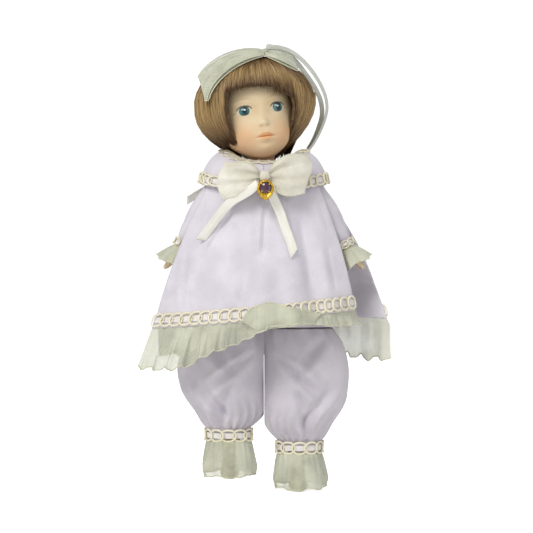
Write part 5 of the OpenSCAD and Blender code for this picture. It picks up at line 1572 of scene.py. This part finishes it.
# %% Ties, elastic, cap
def twisted_ring(radius, height, thick, put, count=3, turns=9):
    """Three strands round a circle, each circling the middle line of the cord as it goes."""
    t = np.linspace(0, 2 * np.pi, 120, endpoint=False)
    phase = np.arange(count)[:, None] * 2 * np.pi / count
    r = radius + 0.5 * thick * np.cos(turns * t + phase)
    path = np.stack([r * np.cos(t), r * np.sin(t), height + 0.5 * thick * np.sin(turns * t + phase)], -1)
    out = np.stack([np.cos(t), np.sin(t), 0 * t], -1)
    return put(tube(path, np.broadcast_to(out, path.shape), thick * 0.52, None, 6))


def ties(side, put, flip):
    knee = place[side + "_knee"][2]
    arm = lambda p: put(turned(p, lean=ARM, at=SHOULDER))
    for name, cords, body, node in (
            (side + "_arm_cord", twisted_ring(5.4, -ELBOW - 5.5, 0.75, arm), "_lower_arm", "_arm_tie"),
            (side + "_leg_cord", twisted_ring(7.9, knee - 9, 0.75, lambda p: put(p + [HIP[0], 0, 0])),
             "_lower_leg", "_leg_tie")):
        g = np.concatenate([cords, cords[:, :1]], 1)
        piece(name, grid_part(g, wrap=True, flip=flip), [linen_cord], side + body, side + node,
              weld=True)


both_sides(ties)
a, t = np.linspace(0, 2 * np.pi, 200, endpoint=False)[None], np.linspace(0, 1, 12)[:, None]
r = 0.25 * np.sin(46 * a) * np.sin(np.pi * t)
band = np.stack(np.broadcast_arrays((22.9 + r) * np.cos(a), (14.7 + r) * np.sin(a),
                                    floor + 144.4 - 3.0 * t), -1)
piece("waist_elastic_band", grid_part(band, wrap=True), [gathered_elastic], "torso",
      "waist_elastic", thick=0.7)
dome = smooth([[49.8, 24.15], [54, 22.4], [58, 19.2], [61.5, 14.4], [64, 11.2], [66, 6.5], [66.9, 2.0],
               [67.0, 0.2]], 40)[::-1]
net = dome[:, 1, None] * np.stack([np.cos(a[0]), np.sin(a[0])], -1).reshape(1, -1, 2).transpose(2, 0, 1)
front = 5.5 * ease((62 - dome[:, 0, None]) / 10) * ease(0.3 - np.sin(a))
net = np.stack([net[0], net[1] * 0.985, dome[:, 0, None] + front + 0.1 * np.sin(70 * a)], -1)
piece("net_cap", grid_part(on_head(net), wrap=True), [wig_net], "head", "wig_cap", thick=0.4)
print("ties, elastic and cap made")

# %% [markdown]
# ## Floor, sizes and finish
# The floor is a plain pale sheet under the doll's feet that runs out of view.

# %% Floor and finish
def make_floor():
    mat, tree, shader, spot, uv = blank("pale_floor")
    cloud = placed(tree, "mottle", Vector=spot, Size=0.4)
    tree.links.new(blendc(tree, cloud.outputs[0], (0.93, 0.93, 0.93, 1), (0.96, 0.96, 0.96, 1)),
                   shader.inputs["Base Color"])
    shader.inputs["Roughness"].default_value = 0.8
    shader.inputs["Emission Color"].default_value = (1, 1, 1, 1)
    seen = add(tree, "LightPath").outputs["Is Camera Ray"]
    tree.links.new(sums(tree, "MULTIPLY", seen, 0.75), shader.inputs["Emission Strength"])
    x, y = np.meshgrid(np.linspace(-4, 4, 5), np.linspace(-4, 4, 5))
    mesh = bpy.data.meshes.new("pale_floor")
    grid = grid_part(np.stack([x, y, 0 * x + floor / 1000], -1), flip=True)
    points, faces, uvs, kinds = put_together([grid])
    mesh.from_pydata(points.tolist(), [], faces)
    mesh.materials.append(mat)
    obj = bpy.data.objects.new("pale_floor", mesh)
    bpy.context.scene.collection.objects.link(obj)
    obj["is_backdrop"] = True
    return obj


make_floor()
print("pieces:", len(made), "with", sum(n for _, n in made), "faces before their walls")
({"cad": [list(map(float, corner)) for corner in cad_box],
           "visual": [list(map(float, corner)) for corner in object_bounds()]})
